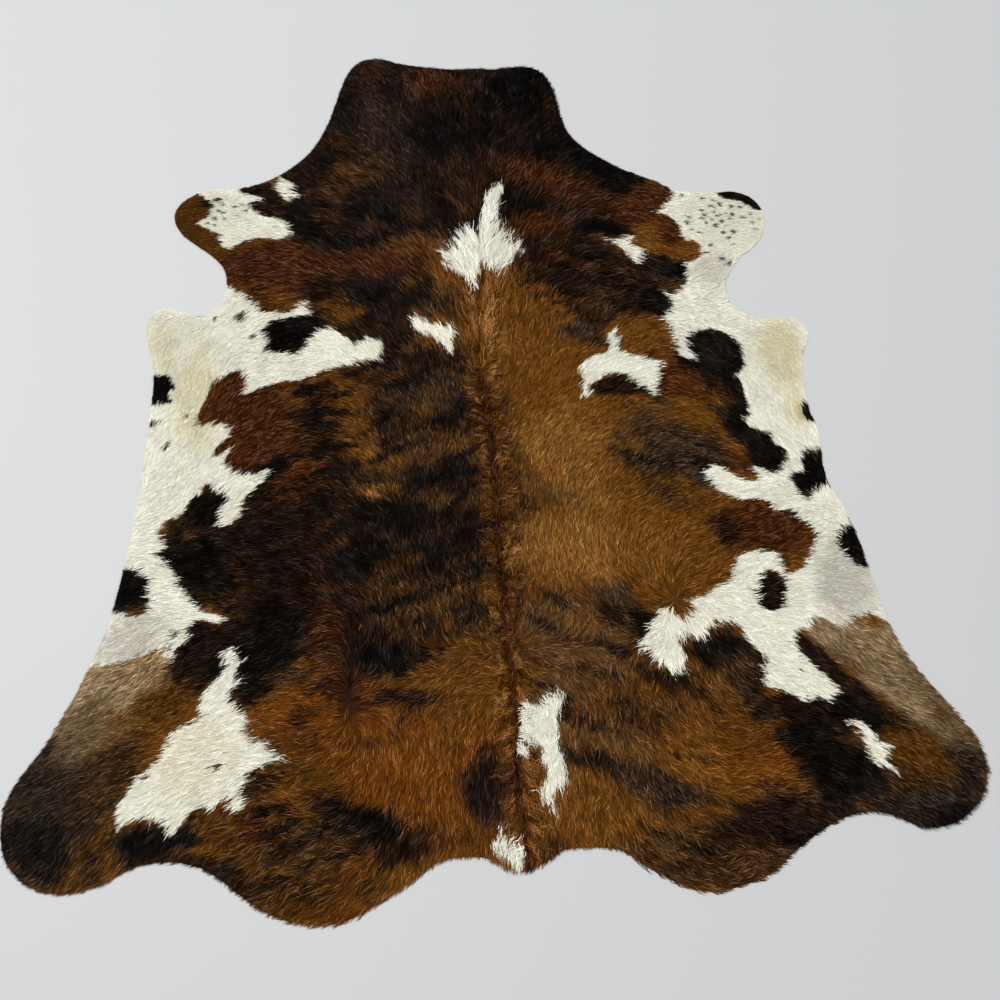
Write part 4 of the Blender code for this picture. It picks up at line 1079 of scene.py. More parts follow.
# The charts: distance to the edge, tones, brindle, patches, lie, length and crinkle
EDGE_CHART = signed_distance(CHART_POINTS, RIM)
TONE_WOBBLE = 0.30 * soft_noise(CHART_POINTS, 0.055, 21)
TONE_WOBBLE += 0.18 * soft_noise(CHART_POINTS, 0.022, 22)
BROWN_CHART = zone_chart(BROWN_ZONES, "rust", TONE_WOBBLE)
WHITE_CHART = zone_chart(WHITE_ZONES, "white", 0.5 * TONE_WOBBLE)
BRINDLE_CHART = brindle_chart()
PATCH_CHART = np.minimum(patch_chart(WHITE_PATCHES), -patch_chart(DARK_PATCHES))
LIE_CHART = lie_chart()
LENGTH_CHART = length_chart()
CRINKLE_CHART = crinkle_chart()


def coat_height(points):
    """Height of the lying coat over the floor: the rim's thickness, and inside the taper the
    skin, hair, banks, creases and swells. Past the edge it sinks towards the floor."""
    edge = read_chart(EDGE_CHART, points)
    fullness = smoothstep(0.0, RIM_TAPER, edge)
    relief = COAT + spine_relief(points) + crease_relief(points) + swell_relief(points)
    height = RIM_THICKNESS + fullness * (LEATHER + relief - RIM_THICKNESS)
    return np.maximum(height + np.minimum(edge, 0.0) * EDGE_SINK, LEAST_COAT)


def fleck_cover(points):
    """1 in the dark flecks of the white hair and 0 outside them."""
    cover = np.zeros(len(points))
    for x, y, half_width, half_height in FLECKS:
        close = np.abs(points - np.array([x, y]) * MM).max(axis=1) < PATCH_MARGIN
        reach = turned_reach(points[close], x, y, half_width, half_height, 0.0)
        cover[close] = np.maximum(cover[close], 1.0 - smoothstep(*FLECK_FADE, reach))
    return cover


def coat_colour(points, chance):
    """Colour of the hair at each point, and 1 where it is white. Inside the white patches it is
    the white chart, with the flecks in it. Elsewhere it is the brown chart, darkened or turned
    rusty by the brindle, with stray rusty hairs, painted chestnut shade along the spine and
    dark red along the parting of the spine.
    chance holds each lock's own random numbers from -1 to 1, which blur each choice."""
    blur = PATCH_WOBBLE * soft_noise(points, 0.012, 41) + PATCH_BLUR * chance[:, 0]
    patch = read_chart(PATCH_CHART, points) + (blur - WHITE_DRAWN_IN)
    white = smoothstep(-PATCH_EDGE, PATCH_EDGE, patch)

    # the brindle and stray hairs
    brindle = read_chart(BRINDLE_CHART, points) + 0.35 * chance[:, 1]
    dark = smoothstep(0.20, 0.70, brindle)
    rusty = smoothstep(0.35, 0.95, -brindle)
    stray = smoothstep(0.80, 0.95, chance[:, 2])
    brown = toward(read_chart(BROWN_CHART, points), 0.80 * dark, tone("black"))
    brown = toward(brown, 0.55 * rusty, tone("olive"))
    brown = toward(brown, 0.18 * stray, tone("rust"))

    # the parting, which starts behind the withers, broken up by slow noise
    spine_x, _ = spine_at(points[:, 1])
    off = np.abs(points[:, 0] - spine_x - parting_stray(points))
    behind = 1.0 - smoothstep(PARTING_END - 0.03, PARTING_END + 0.02, points[:, 1])
    shadow = np.exp(-((off / SPINE_SHADOW) ** 2)) * behind
    parting = np.exp(-((off / PARTING_REACH) ** 2)) * behind
    parting *= 0.45 + 0.55 * smoothstep(-0.5, 0.3, soft_noise(points, 0.09, 44))
    # painted shade, in chestnut, beside the spine; then the parting's dark red
    brown = toward(brown, 0.30 * shadow, tone("chestnut"))
    brown = toward(brown, 0.95 * parting, tone("maroon"))

    speck = smoothstep(0.25, 0.85, fleck_cover(points) + 0.2 * chance[:, 2])
    pale = toward(read_chart(WHITE_CHART, points), 0.85 * speck, tone("soot"))
    return as_light(toward(brown, white, pale)), white


# ---------------------------------------------------------------- meshes

def make_mesh(name, places, corners, starts, materials):
    """A mesh object from arrays: places, the flat list of face corners and where each face's
    corners start."""
    mesh = bpy.data.meshes.new(name)
    mesh.vertices.add(len(places))
    mesh.vertices.foreach_set("co", np.ascontiguousarray(places, dtype=np.float32).ravel())
    mesh.loops.add(len(corners))
    mesh.loops.foreach_set("vertex_index", np.ascontiguousarray(corners, dtype=np.int32))
    mesh.polygons.add(len(starts))
    mesh.polygons.foreach_set("loop_start", np.ascontiguousarray(starts, dtype=np.int32))
    mesh.update(calc_edges=True)
    mesh.validate()
    for material in materials:
        mesh.materials.append(material)
    piece = bpy.data.objects.new(name, mesh)
    bpy.context.scene.collection.objects.link(piece)
    return piece


def paint_points(mesh, name, colours):
    """A colour attribute with one colour a vertex."""
    layer = mesh.attributes.new(name, "FLOAT_COLOR", "POINT")
    full = np.ones((len(colours), 4), dtype=np.float32)
    full[:, :3] = colours
    layer.data.foreach_set("color", full.ravel())


def lay_map(mesh, name, places):
    """A UV map with one place a face corner."""
    layer = mesh.uv_layers.new(name=name)
    layer.data.foreach_set("uv", np.ascontiguousarray(places, dtype=np.float32).ravel())


def rim_outward(rim):
    """The unit vector out of the hide at each point of its rim, square to the line between the
    points before and after it."""
    along = np.roll(rim, -1, axis=0) - np.roll(rim, 1, axis=0)
    outward = np.column_stack([along[:, 1], -along[:, 0]])
    return outward / np.linalg.norm(outward, axis=1)[:, None]


def skin_plan():
    """The hide's plan as triangles: rim points, one row inside them and an even triangular
    lattice, joined by a Delaunay net that keeps to the rim."""
    rim = closed_curve(RIM_BENDS, SKIN_STEP)
    inner = rim - SKIN_INSET * rim_outward(rim)
    row_gap = SKIN_PITCH * math.sqrt(0.75)
    x = np.arange(CHART_LOW[0], -CHART_LOW[0], SKIN_PITCH)
    y = np.arange(CHART_LOW[1], -CHART_LOW[1], row_gap)
    grid = np.stack(np.meshgrid(x, y), axis=-1)
    grid[1::2, :, 0] += SKIN_PITCH / 2.0
    grid = grid.reshape(-1, 2)
    inner = inner[read_chart(EDGE_CHART, inner) > 0.7 * SKIN_INSET]
    grid = grid[read_chart(EDGE_CHART, grid) > SKIN_INSET + 0.6 * SKIN_PITCH]
    plan = np.concatenate([rim, inner, grid])
    edges = [(index, (index + 1) % len(rim)) for index in range(len(rim))]
    places, _, corners, *_ = delaunay_2d_cdt([Vector(place) for place in plan], edges, [], 0,
                                             1e-7, False)
    if len(places) != len(plan):
        raise RuntimeError("two points of the hide's plan fell together")
    corners = np.array([list(corner) for corner in corners])
    inside = read_chart(EDGE_CHART, plan[corners].mean(axis=1)) > 0.0
    return len(rim), plan, corners[inside]


def build_skin(coat_side, flesh_side):
    """The skin, in its two materials: the undercoat's surface on top, a standing edge and the
    flat flesh side below. The top lies at SKIN_SHARE of the coat's height."""
    rim_count, plan, triangles = skin_plan()
    top = np.column_stack([plan, SKIN_SHARE * coat_height(plan)])
    bottom = np.column_stack([plan[:rim_count], np.zeros(rim_count)])
    places = np.concatenate([top, bottom])
    here = np.arange(rim_count)
    after = (here + 1) % rim_count
    wall = np.column_stack([here + len(plan), after + len(plan), after, here])
    underside = (here + len(plan))[::-1]
    corners = np.concatenate([triangles.ravel(), wall.ravel(), underside])
    sizes = np.concatenate([np.full(len(triangles), 3), np.full(len(wall), 4), [rim_count]])
    starts = np.concatenate([[0], np.cumsum(sizes)[:-1]])
    piece = make_mesh("hide_skin", places, corners, starts, (coat_side, flesh_side))
    mesh = piece.data
    slots = np.zeros(len(starts), dtype=np.int32)
    slots[-1] = 1
    mesh.polygons.foreach_set("material_index", slots)
    # the undercoat takes the coat's colour darkened as painted shade between the locks, less so
    # under white hair
    colours, white = coat_colour(places[:, :2], np.zeros((len(places), 3)))
    paint_points(mesh, "coat", (0.5 + 0.35 * white[:, None]) * colours)

    # The map for baking: the top and a hem round it for the wall in the left half, the mirrored
    # flesh side in the right half
    rim = plan[:rim_count]
    hem = rim + WALL_MAP * rim_outward(rim)
    wall_map = np.stack([hem, np.roll(hem, -1, axis=0), np.roll(rim, -1, axis=0), rim], axis=1)
    lie_flat = places[corners, :2].copy()
    lie_flat[triangles.size:-rim_count] = wall_map.reshape(-1, 2)
    lie_flat = lie_flat / (-2.0 * CHART_LOW.min()) + 0.5
    lie_flat[:, 0] *= 0.5
    lie_flat[-rim_count:, 0] = 1.0 - lie_flat[-rim_count:, 0]
    lay_map(mesh, "OFBake", lie_flat)
    mesh.shade_smooth()
    mesh.set_sharp_from_angle(angle=math.radians(50))
    return piece


def root_places(count, seed):
    """Roots of the locks: random places in the hide, kept more often where the hair is short,
    so that the cover is even, as many as asked for."""
    chance = np.random.default_rng(seed)
    low, high = RIM.min(axis=0), RIM.max(axis=0)
    tries = chance.uniform(low, high, (count * 4, 2))
    length = read_chart(LENGTH_CHART, tries)[:, 0]
    kept_share = np.clip(SHORT_HAIR / length, FEWEST_ROOTS, 1.0)
    inside = read_chart(EDGE_CHART, tries) > ROOT_INSET
    return tries[inside & (chance.random(len(tries)) < kept_share)][:count]


def tuft_of(roots, seed):
    """The middle of the tuft each root belongs to, the nearest of the jittered middles of the
    nine cells round it, and three random numbers from -1 to 1 for that tuft."""
    chance = np.random.default_rng(seed)
    jitter = chance.uniform(0.1, 0.9, (TUFT_TABLE, TUFT_TABLE, 2))
    traits = chance.uniform(-1.0, 1.0, (TUFT_TABLE, TUFT_TABLE, 3))
    cell = np.floor(roots / TUFT_SPACING).astype(int)
    nearest = np.full(len(roots), np.inf)
    middle = np.zeros((len(roots), 2))
    trait = np.zeros((len(roots), 3))
    for step_x in (-1, 0, 1):
        for step_y in (-1, 0, 1):
            other = cell + (step_x, step_y)
            i, j = other[:, 0] % TUFT_TABLE, other[:, 1] % TUFT_TABLE
            place = (other + jitter[i, j]) * TUFT_SPACING
            gap = np.linalg.norm(roots - place, axis=1)
            closer = gap < nearest
            nearest = np.where(closer, gap, nearest)
            middle = np.where(closer[:, None], place, middle)
            trait = np.where(closer[:, None], traits[i, j], trait)
    return middle, trait


def turned(vectors, angles):
    """Vectors of the plan turned anticlockwise by the angles."""
    cosine, sine = np.cos(angles), np.sin(angles)
    return np.column_stack([vectors[:, 0] * cosine - vectors[:, 1] * sine,
                            vectors[:, 0] * sine + vectors[:, 1] * cosine])


def shaded(colours, factors, highlight_greyness):
    """Each hair's colour at its rows, times their factors of painted light and shade. Where a hair
    is painted brighter than its own colour, that painted highlight also turns grey by the given
    highlight greyness, as the highlights on real hair do."""
    grey = colours.mean(axis=1)[:, None] * np.array(HIGHLIGHT_GREY_TINT)
    highlight_tint = toward(colours, highlight_greyness, grey)
    bright = np.maximum(factors - 1.0, 0.0)[..., None] * highlight_tint[:, None, :]
    painted = colours[:, None, :] * np.minimum(factors, 1.0)[..., None] + bright
    return np.clip(painted, 0.0, PALEST)


def with_painted_glint(painted, strength, rows):
    """Hair colours with a faint warm painted highlight added to each dark hair: its strength times
    a factor a row. Paler hair is left as it is."""
    strength = strength * (1.0 - smoothstep(*GLINT_FADE, painted[:, -1].mean(axis=1)))
    painted_glint = strength[:, None, None] * np.asarray(rows)[None, :, None] * np.array(GLINT_TINT)
    return np.clip(painted + painted_glint, 0.0, PALEST)


def finish_hair(piece, painted, strand, stretch, chance):
    """Colours, maps and smooth shading of a piece of hair. strand is one hair's own map. On the
    strand map each hair takes it, stretched along the hair, at a random place, and on the map
    for baking in a square cell of its own."""
    count = len(painted)
    paint_points(piece.data, "coat", painted.reshape(-1, 3))
    shift = chance.uniform(0.0, STRAND_SHIFT, (count, 1, 2))
    placed = strand[None] * np.array([1.0, stretch]) + shift
    lay_map(piece.data, "strand", placed.reshape(-1, 2))
    cells = math.ceil(math.sqrt(count))
    order = np.arange(count)
    cell = np.column_stack([order % cells, order // cells])[:, None, :]
    placed = (cell + CELL_RIM + CELL_FILL * strand[None]) / cells
    lay_map(piece.data, "OFBake", placed.reshape(-1, 2))
    piece.data.shade_smooth()


def tuft_headings(middle, trait, crinkle):
    """Which way each tuft lies, as a unit vector: the lie read a little aside of the tuft, by
    slow noise, then turned by noise, more of it where the hair is crinkled, and by the tuft's
    own trait."""
    turn = 0.18 * soft_noise(middle, 0.045, 61)
    turn += (0.18 + 0.65 * crinkle) * soft_noise(middle, 0.019, 62)
    wander = np.column_stack([soft_noise(middle, 0.06, 63), soft_noise(middle, 0.06, 64)])
    wander += 0.5 * np.column_stack([soft_noise(middle, 0.024, 65), soft_noise(middle, 0.024, 66)])
    lie = read_chart(LIE_CHART, middle + LIE_WANDER * wander)
    lie /= np.linalg.norm(lie, axis=1)[:, None]
    return turned(lie, turn + 0.12 * trait[:, 0])


def length_in_rim(roots, lie, length, reach):
    """Length of each lock, cut where it would pass the edge by more than its reach. Its room is
    the sum of its distance to the edge and its reach, over how squarely it heads for the edge."""
    edge = read_chart(EDGE_CHART, roots)
    edge_ahead = read_chart(EDGE_CHART, roots + lie * EDGE_LOOK)
    outward = np.clip((edge - edge_ahead) / EDGE_LOOK, 0.0, 1.0)
    room = (edge + reach) / np.maximum(outward, 0.05)
    return np.maximum(np.minimum(length, room), SHORTEST_LOCK)


def ribbon_sides(places, height, across, half, roll):
    """The two sides of a ribbon at the given places and heights: half its width to each side,
    tilted about its length by the roll."""
    shift = across * (half * np.cos(roll))[:, None]
    lift = half * np.sin(roll)
    return [np.column_stack([places - shift, height - lift]),
            np.column_stack([places + shift, height + lift])]


def lock_light(colours, white, middle, trait, crown, length, chance):
    """How brightly each lock is lit at its five points, and how dark its hair is, from 0 to 1.
    Dark locks differ most and brighten most on a tuft's crown, while short and white ones are
    calm. The root is in shade and the tip catches the light, less so in white hair."""
    deep = 1.0 - smoothstep(0.008, 0.060, colours.mean(axis=1))
    spread = 0.50 + 0.80 * deep
    light = spread * chance.normal(0.0, 1.0, len(deep)) - 0.5 * spread ** 2 + 0.02 + 0.14 * deep
    light += (0.06 + 0.24 * deep) * trait[:, 2] + (0.20 + 0.40 * deep) * (crown - 0.5)
    light += 0.60 * deep * soft_noise(middle, 0.020, 69)
    light = np.minimum(np.exp(light), 3.2 + 0.8 * deep)
    calm = np.clip(length / (24.0 * MM), 0.5 + 0.3 * deep, 1.0) * (1.0 - 0.76 * white)
    light = 1.0 + (light - 1.0) * calm
    light += 0.09 * white * soft_noise(middle, 0.028, 67)
    return light[:, None] * toward(LOCK_SHADES[None, :], white, WHITE_LOCK_SHADES), deep


def lay_locks(name, roots, seed, material):
    """One piece of lying hair. Each lock is a ribbon of a quad and a triangle: a narrow root, a
    wide waist and a point. It runs along the lie of the hair, its tip drawn to its tuft's tip,
    its waist set aside by the tuft's bend, and it is rolled about its length like the round
    back of the tuft."""
    count = len(roots)
    chance = np.random.default_rng(seed)

    # which way each lock lies and how long it is
    middle, trait = tuft_of(roots, 5)
    crinkle = read_chart(CRINKLE_CHART, middle)
    length, reach = read_chart(LENGTH_CHART, roots).T
    length = length * np.exp(chance.normal(0.0, 0.16, count))
    tuft_lie = tuft_headings(middle, trait, crinkle)
    own_lie = turned(tuft_lie, chance.normal(0.0, 0.20, count))
    reach = reach * chance.uniform(0.2, 1.0, count) ** 1.5
    length = length_in_rim(roots, own_lie, length, reach)

    # its tip and waist
    tip = roots + own_lie * length[:, None]
    tuft_tip = middle + tuft_lie * length[:, None]
    tip += LOCK_GATHER * (tuft_tip - tip)
    run = tip - roots
    span = np.maximum(np.linalg.norm(run, axis=1), 1e-5)
    along = run / span[:, None]
    across = np.column_stack([-along[:, 1], along[:, 0]])
    bend = (0.07 + 0.08 * crinkle) * trait[:, 1] + chance.normal(0.0, 0.07, count)
    waist = roots + LOCK_WAIST * run + across * (bend * span)[:, None]

    # its roll, flatter in white hair, its width and its levels, highest on the tuft's crown
    side = ((roots - middle) * across).sum(axis=1) / TUFT_SPACING
    crown = 1.0 - np.clip(np.abs(side) * 1.6, 0.0, 1.0)
    roll = np.clip(-side * 1.3, -0.8, 0.8) + chance.normal(0.0, 0.22, count)
    roll *= 1.0 - 0.6 * smoothstep(-2.0 * MM, 2.0 * MM, read_chart(PATCH_CHART, roots))
    width = LOCK_WIDTH * chance.uniform(0.7, 1.25, count) * np.clip(length / 0.02, 0.6, 1.15)
    waist_level = 0.70 + 0.22 * crown + chance.uniform(-0.08, 0.08, count)
    tip_level = 0.66 + 0.26 * crown + chance.uniform(-0.16, 0.16, count)
    rows = ribbon_sides(roots, coat_height(roots) * ROOT_LEVEL, across,
                        0.5 * ROOT_WIDTH * width, roll)
    rows += ribbon_sides(waist, coat_height(waist) * waist_level, across, 0.5 * width, roll)
    rows += [np.column_stack([tip, coat_height(tip) * tip_level])]
    places = np.stack(rows, axis=1)
    places[..., 2] = np.maximum(places[..., 2], LEAST_LIFT)
    first = np.arange(count)[:, None]
    corners = (first * 5 + np.array([[0, 2, 3, 1, 2, 4, 3]])).ravel()
    starts = (first * 7 + np.array([[0, 4]])).ravel()
    piece = make_mesh(name, places.reshape(-1, 3), corners, starts, (material,))

    # its colour, painted light and shade, and painted glint
    own = chance.uniform(-1.0, 1.0, (count, 3))
    ahead = READ_AHEAD + READ_SPREAD * chance.uniform(-1.0, 1.0, count)
    colours, white = coat_colour(roots + ahead[:, None] * run, own)
    colours *= 1.0 + 0.07 * own[:, 1:2] * np.array([0.0, 1.0, 2.0])
    light, deep = lock_light(colours, white, middle, trait, crown, length, chance)
    glint = GLINT * np.minimum(np.exp(chance.normal(-0.9, 1.4, count)), MOST_GLINT)
    glint *= smoothstep(0.1, 0.9, crown)
    glint *= 1.6 * smoothstep(-0.4, 0.7, soft_noise(middle, 0.018, 68)) * (1.0 - white)
    painted = with_painted_glint(shaded(colours, light, 0.25 + 0.42 * deep), glint, LOCK_GLINT_ROWS)
    strand = np.array([[0.2, 0.0], [0.0, 0.5], [1.0, 0.5], [0.8, 0.0], [0.0, 0.5], [0.5, 1.0],
                       [1.0, 0.5]])
    finish_hair(piece, painted, strand, 1.0, chance)
    return piece


def curl_lines(chance):
    """The line of each curl as CURL_ROWS + 1 places and headings, how near the crown of its tuft
    it is, and the tuft's traits. Its heading starts from SPINE_LIE on its side, swings to and
    fro in a wave whose swing and phase it shares with its tuft, and turns slowly. The line adds
    up short steps along that heading. The tips of a tuft are drawn together, and curls whose
    tips pass the edge too far are left out."""
    rows = np.array(SPINE_LIE, dtype=float)[::-1]
    y = chance.uniform(rows[0, 0], rows[-1, 0], CURL_COUNT) * MM
    side = np.where(chance.random(CURL_COUNT) < 0.5, -1.0, 1.0)
    left, right, length, spread, wave = (np.interp(y, rows[:, 0] * MM, rows[:, column])
                                         for column in (1, 2, 3, 4, 5))
    spine_x, _ = spine_at(y)
    spine_x += parting_stray(np.column_stack([spine_x, y]))
    off = (2.0 + spread * chance.random(CURL_COUNT) ** 1.3) * MM
    roots = np.column_stack([spine_x + side * off, y])

    # from the neck to the tail, so that hair nearer the tail lies over the hair ahead of it
    order = np.argsort(-y, kind="stable")
    roots, side, left, right = roots[order], side[order], left[order], right[order]
    length, wave = length[order], wave[order]
    tuft, trait = tuft_of(roots * TUFT_SPACING / CURL_TUFT, 9)
    gather = roots - tuft * CURL_TUFT / TUFT_SPACING
    length = length * MM * np.exp(chance.normal(0.0, 0.18, CURL_COUNT) + 0.4 * wave * trait[:, 1])
    start = np.radians(np.where(side < 0.0, left, right)) + (0.25 + 0.5 * wave) * trait[:, 0]
    start += chance.normal(0.0, 0.16, CURL_COUNT)
    swing = wave * (1.0 + 0.3 * trait[:, 1] + chance.normal(0.0, 0.1, CURL_COUNT))
    phase = 0.5 * trait[:, 2] + chance.normal(0.0, 0.05, CURL_COUNT)
    waves = length / chance.uniform(*CURL_WAVE, CURL_COUNT)
    drift = chance.normal(0.0, 0.25, CURL_COUNT) + 0.4 * trait[:, 1] * side

    share = CURL_SHARES
    angle = start[:, None] + drift[:, None] * share
    angle += swing[:, None] * np.sin(2.0 * math.pi * (waves[:, None] * share + phase[:, None]))
    heading = np.stack([np.cos(angle), np.sin(angle)], axis=-1)
    steps = heading[:, :-1] * (length / CURL_ROWS)[:, None, None]
    line = np.concatenate([roots[:, None], roots[:, None] + np.cumsum(steps, axis=1)], axis=1)
    line -= CURL_GATHER * share[None, :, None] * gather[:, None, :]
    first_across = np.column_stack([-np.sin(start), np.cos(start)])
    aside = np.abs((gather * first_across).sum(axis=1)) / (0.5 * CURL_TUFT)
    crown = 1.0 - np.clip(aside, 0.0, 1.0)
    keep = read_chart(EDGE_CHART, line[:, -1]) > -CURL_REACH
    return line[keep], heading[keep], crown[keep], trait[keep]


def curl_ribbons(line, heading, level, half, lift):
    """Places of each curl's points: a pair across its line at every place but the last, half its
    width to each side and lifted at one side, and its tip."""
    across = np.stack([-heading[..., 1], heading[..., 0]], axis=-1)
    sideways = across * half[..., None]
    first_row = np.concatenate([line - sideways, (level - lift)[..., None]], axis=-1)
    other_row = np.concatenate([line + sideways, (level + lift)[..., None]], axis=-1)
    pairs = np.stack([first_row, other_row], axis=2)[:, :-1].reshape(len(line), -1, 3)
    tips = np.concatenate([line[:, -1], level[:, -1:]], axis=-1)[:, None]
    return np.concatenate([pairs, tips], axis=1)


def lay_curls(name, material):
    """The longer wavy hair beside the parting of the spine, as one piece. Each curl is a narrow
    ribbon of CURL_ROWS pairs of points and a tip along its line, widest a third of the way
    along. It rises off the coat in an arch, a slightly fuller half sine wave, and white hair
    also rises to its tip."""
    chance = np.random.default_rng(77)
    line, heading, crown, trait = curl_lines(chance)
    count, share = len(line), CURL_SHARES
    width = CURL_WIDTH * chance.uniform(0.7, 1.3, count)
    profile = np.minimum(0.6 + 1.3 * share, 1.0) * (1.0 - share ** 2.5)
    half = 0.5 * width[:, None] * profile[None, :]
    arch = (chance.uniform(0.6, 2.4, count) + 1.2 * crown)[:, None] * MM
    arch = arch * np.sin(math.pi * share) ** 0.8
    own = chance.uniform(-1.0, 1.0, (count, 3))
    read_row = chance.integers(3, CURL_ROWS, count)
    colours, white = coat_colour(line[np.arange(count), read_row], own)
    level = coat_height(line.reshape(-1, 2)).reshape(count, -1) * CURL_LEVEL + arch
    level += 0.9 * MM * white[:, None] * share
    level[:, 0] *= 0.5
    lift = chance.normal(0.0, 0.35, count)[:, None] * half
    places = curl_ribbons(line, heading, level, half, lift)

    # CURL_ROWS - 1 quads and a triangle at the tip
    quads = np.arange(CURL_ROWS - 1)[:, None] * 2 + np.array([0, 2, 3, 1])
    last = 2 * (CURL_ROWS - 1)
    pattern = np.concatenate([quads.ravel(), [last, last + 2, last + 1]])
    points_each = places.shape[1]
    first = np.arange(count)[:, None]
    corners = (first * points_each + pattern).ravel()
    starts = (first * len(pattern) + np.arange(CURL_ROWS) * 4).ravel()
    piece = make_mesh(name, places.reshape(-1, 3), corners, starts, (material,))

    # ruddy hairs behind the withers, light on a tuft's crown, shade at the roots
    behind = 1.0 - smoothstep(*RUDDY_FADE, line[:, 0, 1])
    ruddy = 0.40 * chance.random(count) * behind * (1.0 - white)
    colours = toward(colours, ruddy, as_light(tone("rust")))
    light = chance.normal(-0.20, 0.60, count) + 0.75 * trait[:, 2] + 1.1 * (crown - 0.4)
    light = 1.0 + (np.minimum(np.exp(light), 3.2) - 1.0) * (1.0 - 0.8 * white)
    rise = share[:, None] ** 0.9
    shades = 0.18 + 1.25 * rise + white * (0.69 - 1.05 * rise)
    factors = light[:, None] * np.repeat(shades.T, 2, axis=1)[:, :points_each]
    # painted highlights on dark curls, strongest on a tuft's crown
    glint = GLINT * np.minimum(np.exp(chance.normal(-0.7, 1.4, count)), MOST_GLINT)
    glint *= crown * (1.0 - white)
    along = np.repeat(share, 2)[:points_each]
    painted = with_painted_glint(shaded(colours, factors, np.full(count, CURL_HIGHLIGHT_GREYNESS)), glint, along)
    across = np.tile([0.0, 1.0], CURL_ROWS + 1)[:points_each]
    across[-1] = 0.5
    finish_hair(piece, painted, np.column_stack([across, along])[pattern], 2.0, chance)
    return piece


def lay_coat(material):
    """The whole coat: five pieces of lying hair, which are fore and the left and right of the
    middle and the rear, and one of curls. Roots are sorted by place, so that neighbours lie
    together in each piece."""
    roots = root_places(5 * LOCKS_A_PIECE, 3)
    roots = roots[np.argsort(-roots[:, 1], kind="stable")]
    share = len(roots) // 5
    bands = (("fore", roots[:share]), ("middle", roots[share:3 * share]),
             ("rear", roots[3 * share:]))
    pieces = []
    for seed, (band, places) in enumerate(bands):
        parts = ((band, places),)
        if band != "fore":
            places = places[np.argsort(places[:, 0], kind="stable")]
            half = len(places) // 2
            parts = ((band + "_left", places[:half]), (band + "_right", places[half:]))
        for turn, (part, own) in enumerate(parts):
            row = np.floor(own[:, 1] / ROW_DEPTH)
            own = own[np.lexsort((own[:, 0], row))]
            pieces.append(lay_locks("hair_" + part, own, 100 + 10 * seed + turn, material))
    pieces.append(lay_curls("hair_spine", material))
    return pieces


# ---------------------------------------------------------------- materials

def new_material(name):
    """A new material, its nodes, their links and its shader."""
    material = bpy.data.materials.new(name)
    material.use_nodes = True
    tree = material.node_tree
    return material, tree.nodes, tree.links, tree.nodes["Principled BSDF"]


def set_finish(shader, roughness, shine):
    """How rough and how shiny a surface is, the same all over it."""
    shader.inputs["Roughness"].default_value = roughness
    shader.inputs["Specular IOR Level"].default_value = shine


def add_noise(nodes, links, place, scale, detail):
    """Noise over the given places. Puts out its grey value."""
    noise = nodes.new("ShaderNodeTexNoise")
    noise.inputs["Scale"].default_value = scale
    noise.inputs["Detail"].default_value = detail
    links.new(place, noise.inputs["Vector"])
    return noise.outputs["Fac"]


def add_relief(nodes, links, height, strength, depth, shader):
    """Fine relief of a shader's surface, from a grey value as its height."""
    bump = nodes.new("ShaderNodeBump")
    bump.inputs["Strength"].default_value = strength
    bump.inputs["Distance"].default_value = depth
    links.new(height, bump.inputs["Height"])
    links.new(bump.outputs["Normal"], shader.inputs["Normal"])


def drawn_hair_group():
    """Fine hairs drawn through a colour: noise at the given grain darkens and lightens the coat
    colour between two factors. Puts out the colour and the noise as a height for relief."""
    group = bpy.data.node_groups.new("drawn_hair", "ShaderNodeTree")
    sides = (("INPUT", (("Coat Colour", "NodeSocketColor"), ("Place", "NodeSocketVector"),
                        ("Grain", "NodeSocketFloat"), ("Detail", "NodeSocketFloat"),
                        ("Darkest", "NodeSocketFloat"), ("Brightest", "NodeSocketFloat"))),
             ("OUTPUT", (("Hair Colour", "NodeSocketColor"), ("Hair Height", "NodeSocketFloat"))))
    for side, sockets in sides:
        for name, kind in sockets:
            group.interface.new_socket(name=name, in_out=side, socket_type=kind)
    nodes, links = group.nodes, group.links
    given = nodes.new("NodeGroupInput")
    result = nodes.new("NodeGroupOutput")
    hairs = nodes.new("ShaderNodeTexNoise")
    links.new(given.outputs["Place"], hairs.inputs["Vector"])
    links.new(given.outputs["Grain"], hairs.inputs["Scale"])
    links.new(given.outputs["Detail"], hairs.inputs["Detail"])
    shade = nodes.new("ShaderNodeMapRange")
    shade.inputs["From Min"].default_value = 0.3
    shade.inputs["From Max"].default_value = 0.7
    links.new(given.outputs["Darkest"], shade.inputs["To Min"])
    links.new(given.outputs["Brightest"], shade.inputs["To Max"])
    links.new(hairs.outputs["Fac"], shade.inputs["Value"])
    tinted = nodes.new("ShaderNodeVectorMath")
    tinted.operation = "SCALE"
    links.new(given.outputs["Coat Colour"], tinted.inputs[0])
    links.new(shade.outputs["Result"], tinted.inputs["Scale"])
    links.new(tinted.outputs["Vector"], result.inputs["Hair Colour"])
    links.new(hairs.outputs["Fac"], result.inputs["Hair Height"])
    return group


def coat_material(name, group, place, grain, detail, darkest, brightest, strength, depth):
    """A material of the coat: the painted coat colour with fine hairs drawn through it, and the
    same hairs as relief of the given strength and depth. place makes the node socket that the
    hairs are laid along."""
    material, nodes, links, shader = new_material(name)
    coat = nodes.new("ShaderNodeAttribute")
    coat.attribute_name = "coat"
    hairs = nodes.new("ShaderNodeGroup")
    hairs.node_tree = group
    hairs.inputs["Grain"].default_value = grain
    hairs.inputs["Detail"].default_value = detail
    hairs.inputs["Darkest"].default_value = darkest
    hairs.inputs["Brightest"].default_value = brightest
    links.new(coat.outputs["Color"], hairs.inputs["Coat Colour"])
    links.new(place(nodes, links), hairs.inputs["Place"])
    links.new(hairs.outputs["Hair Colour"], shader.inputs["Base Color"])
    add_relief(nodes, links, hairs.outputs["Hair Height"], strength, depth, shader)
    return material, shader


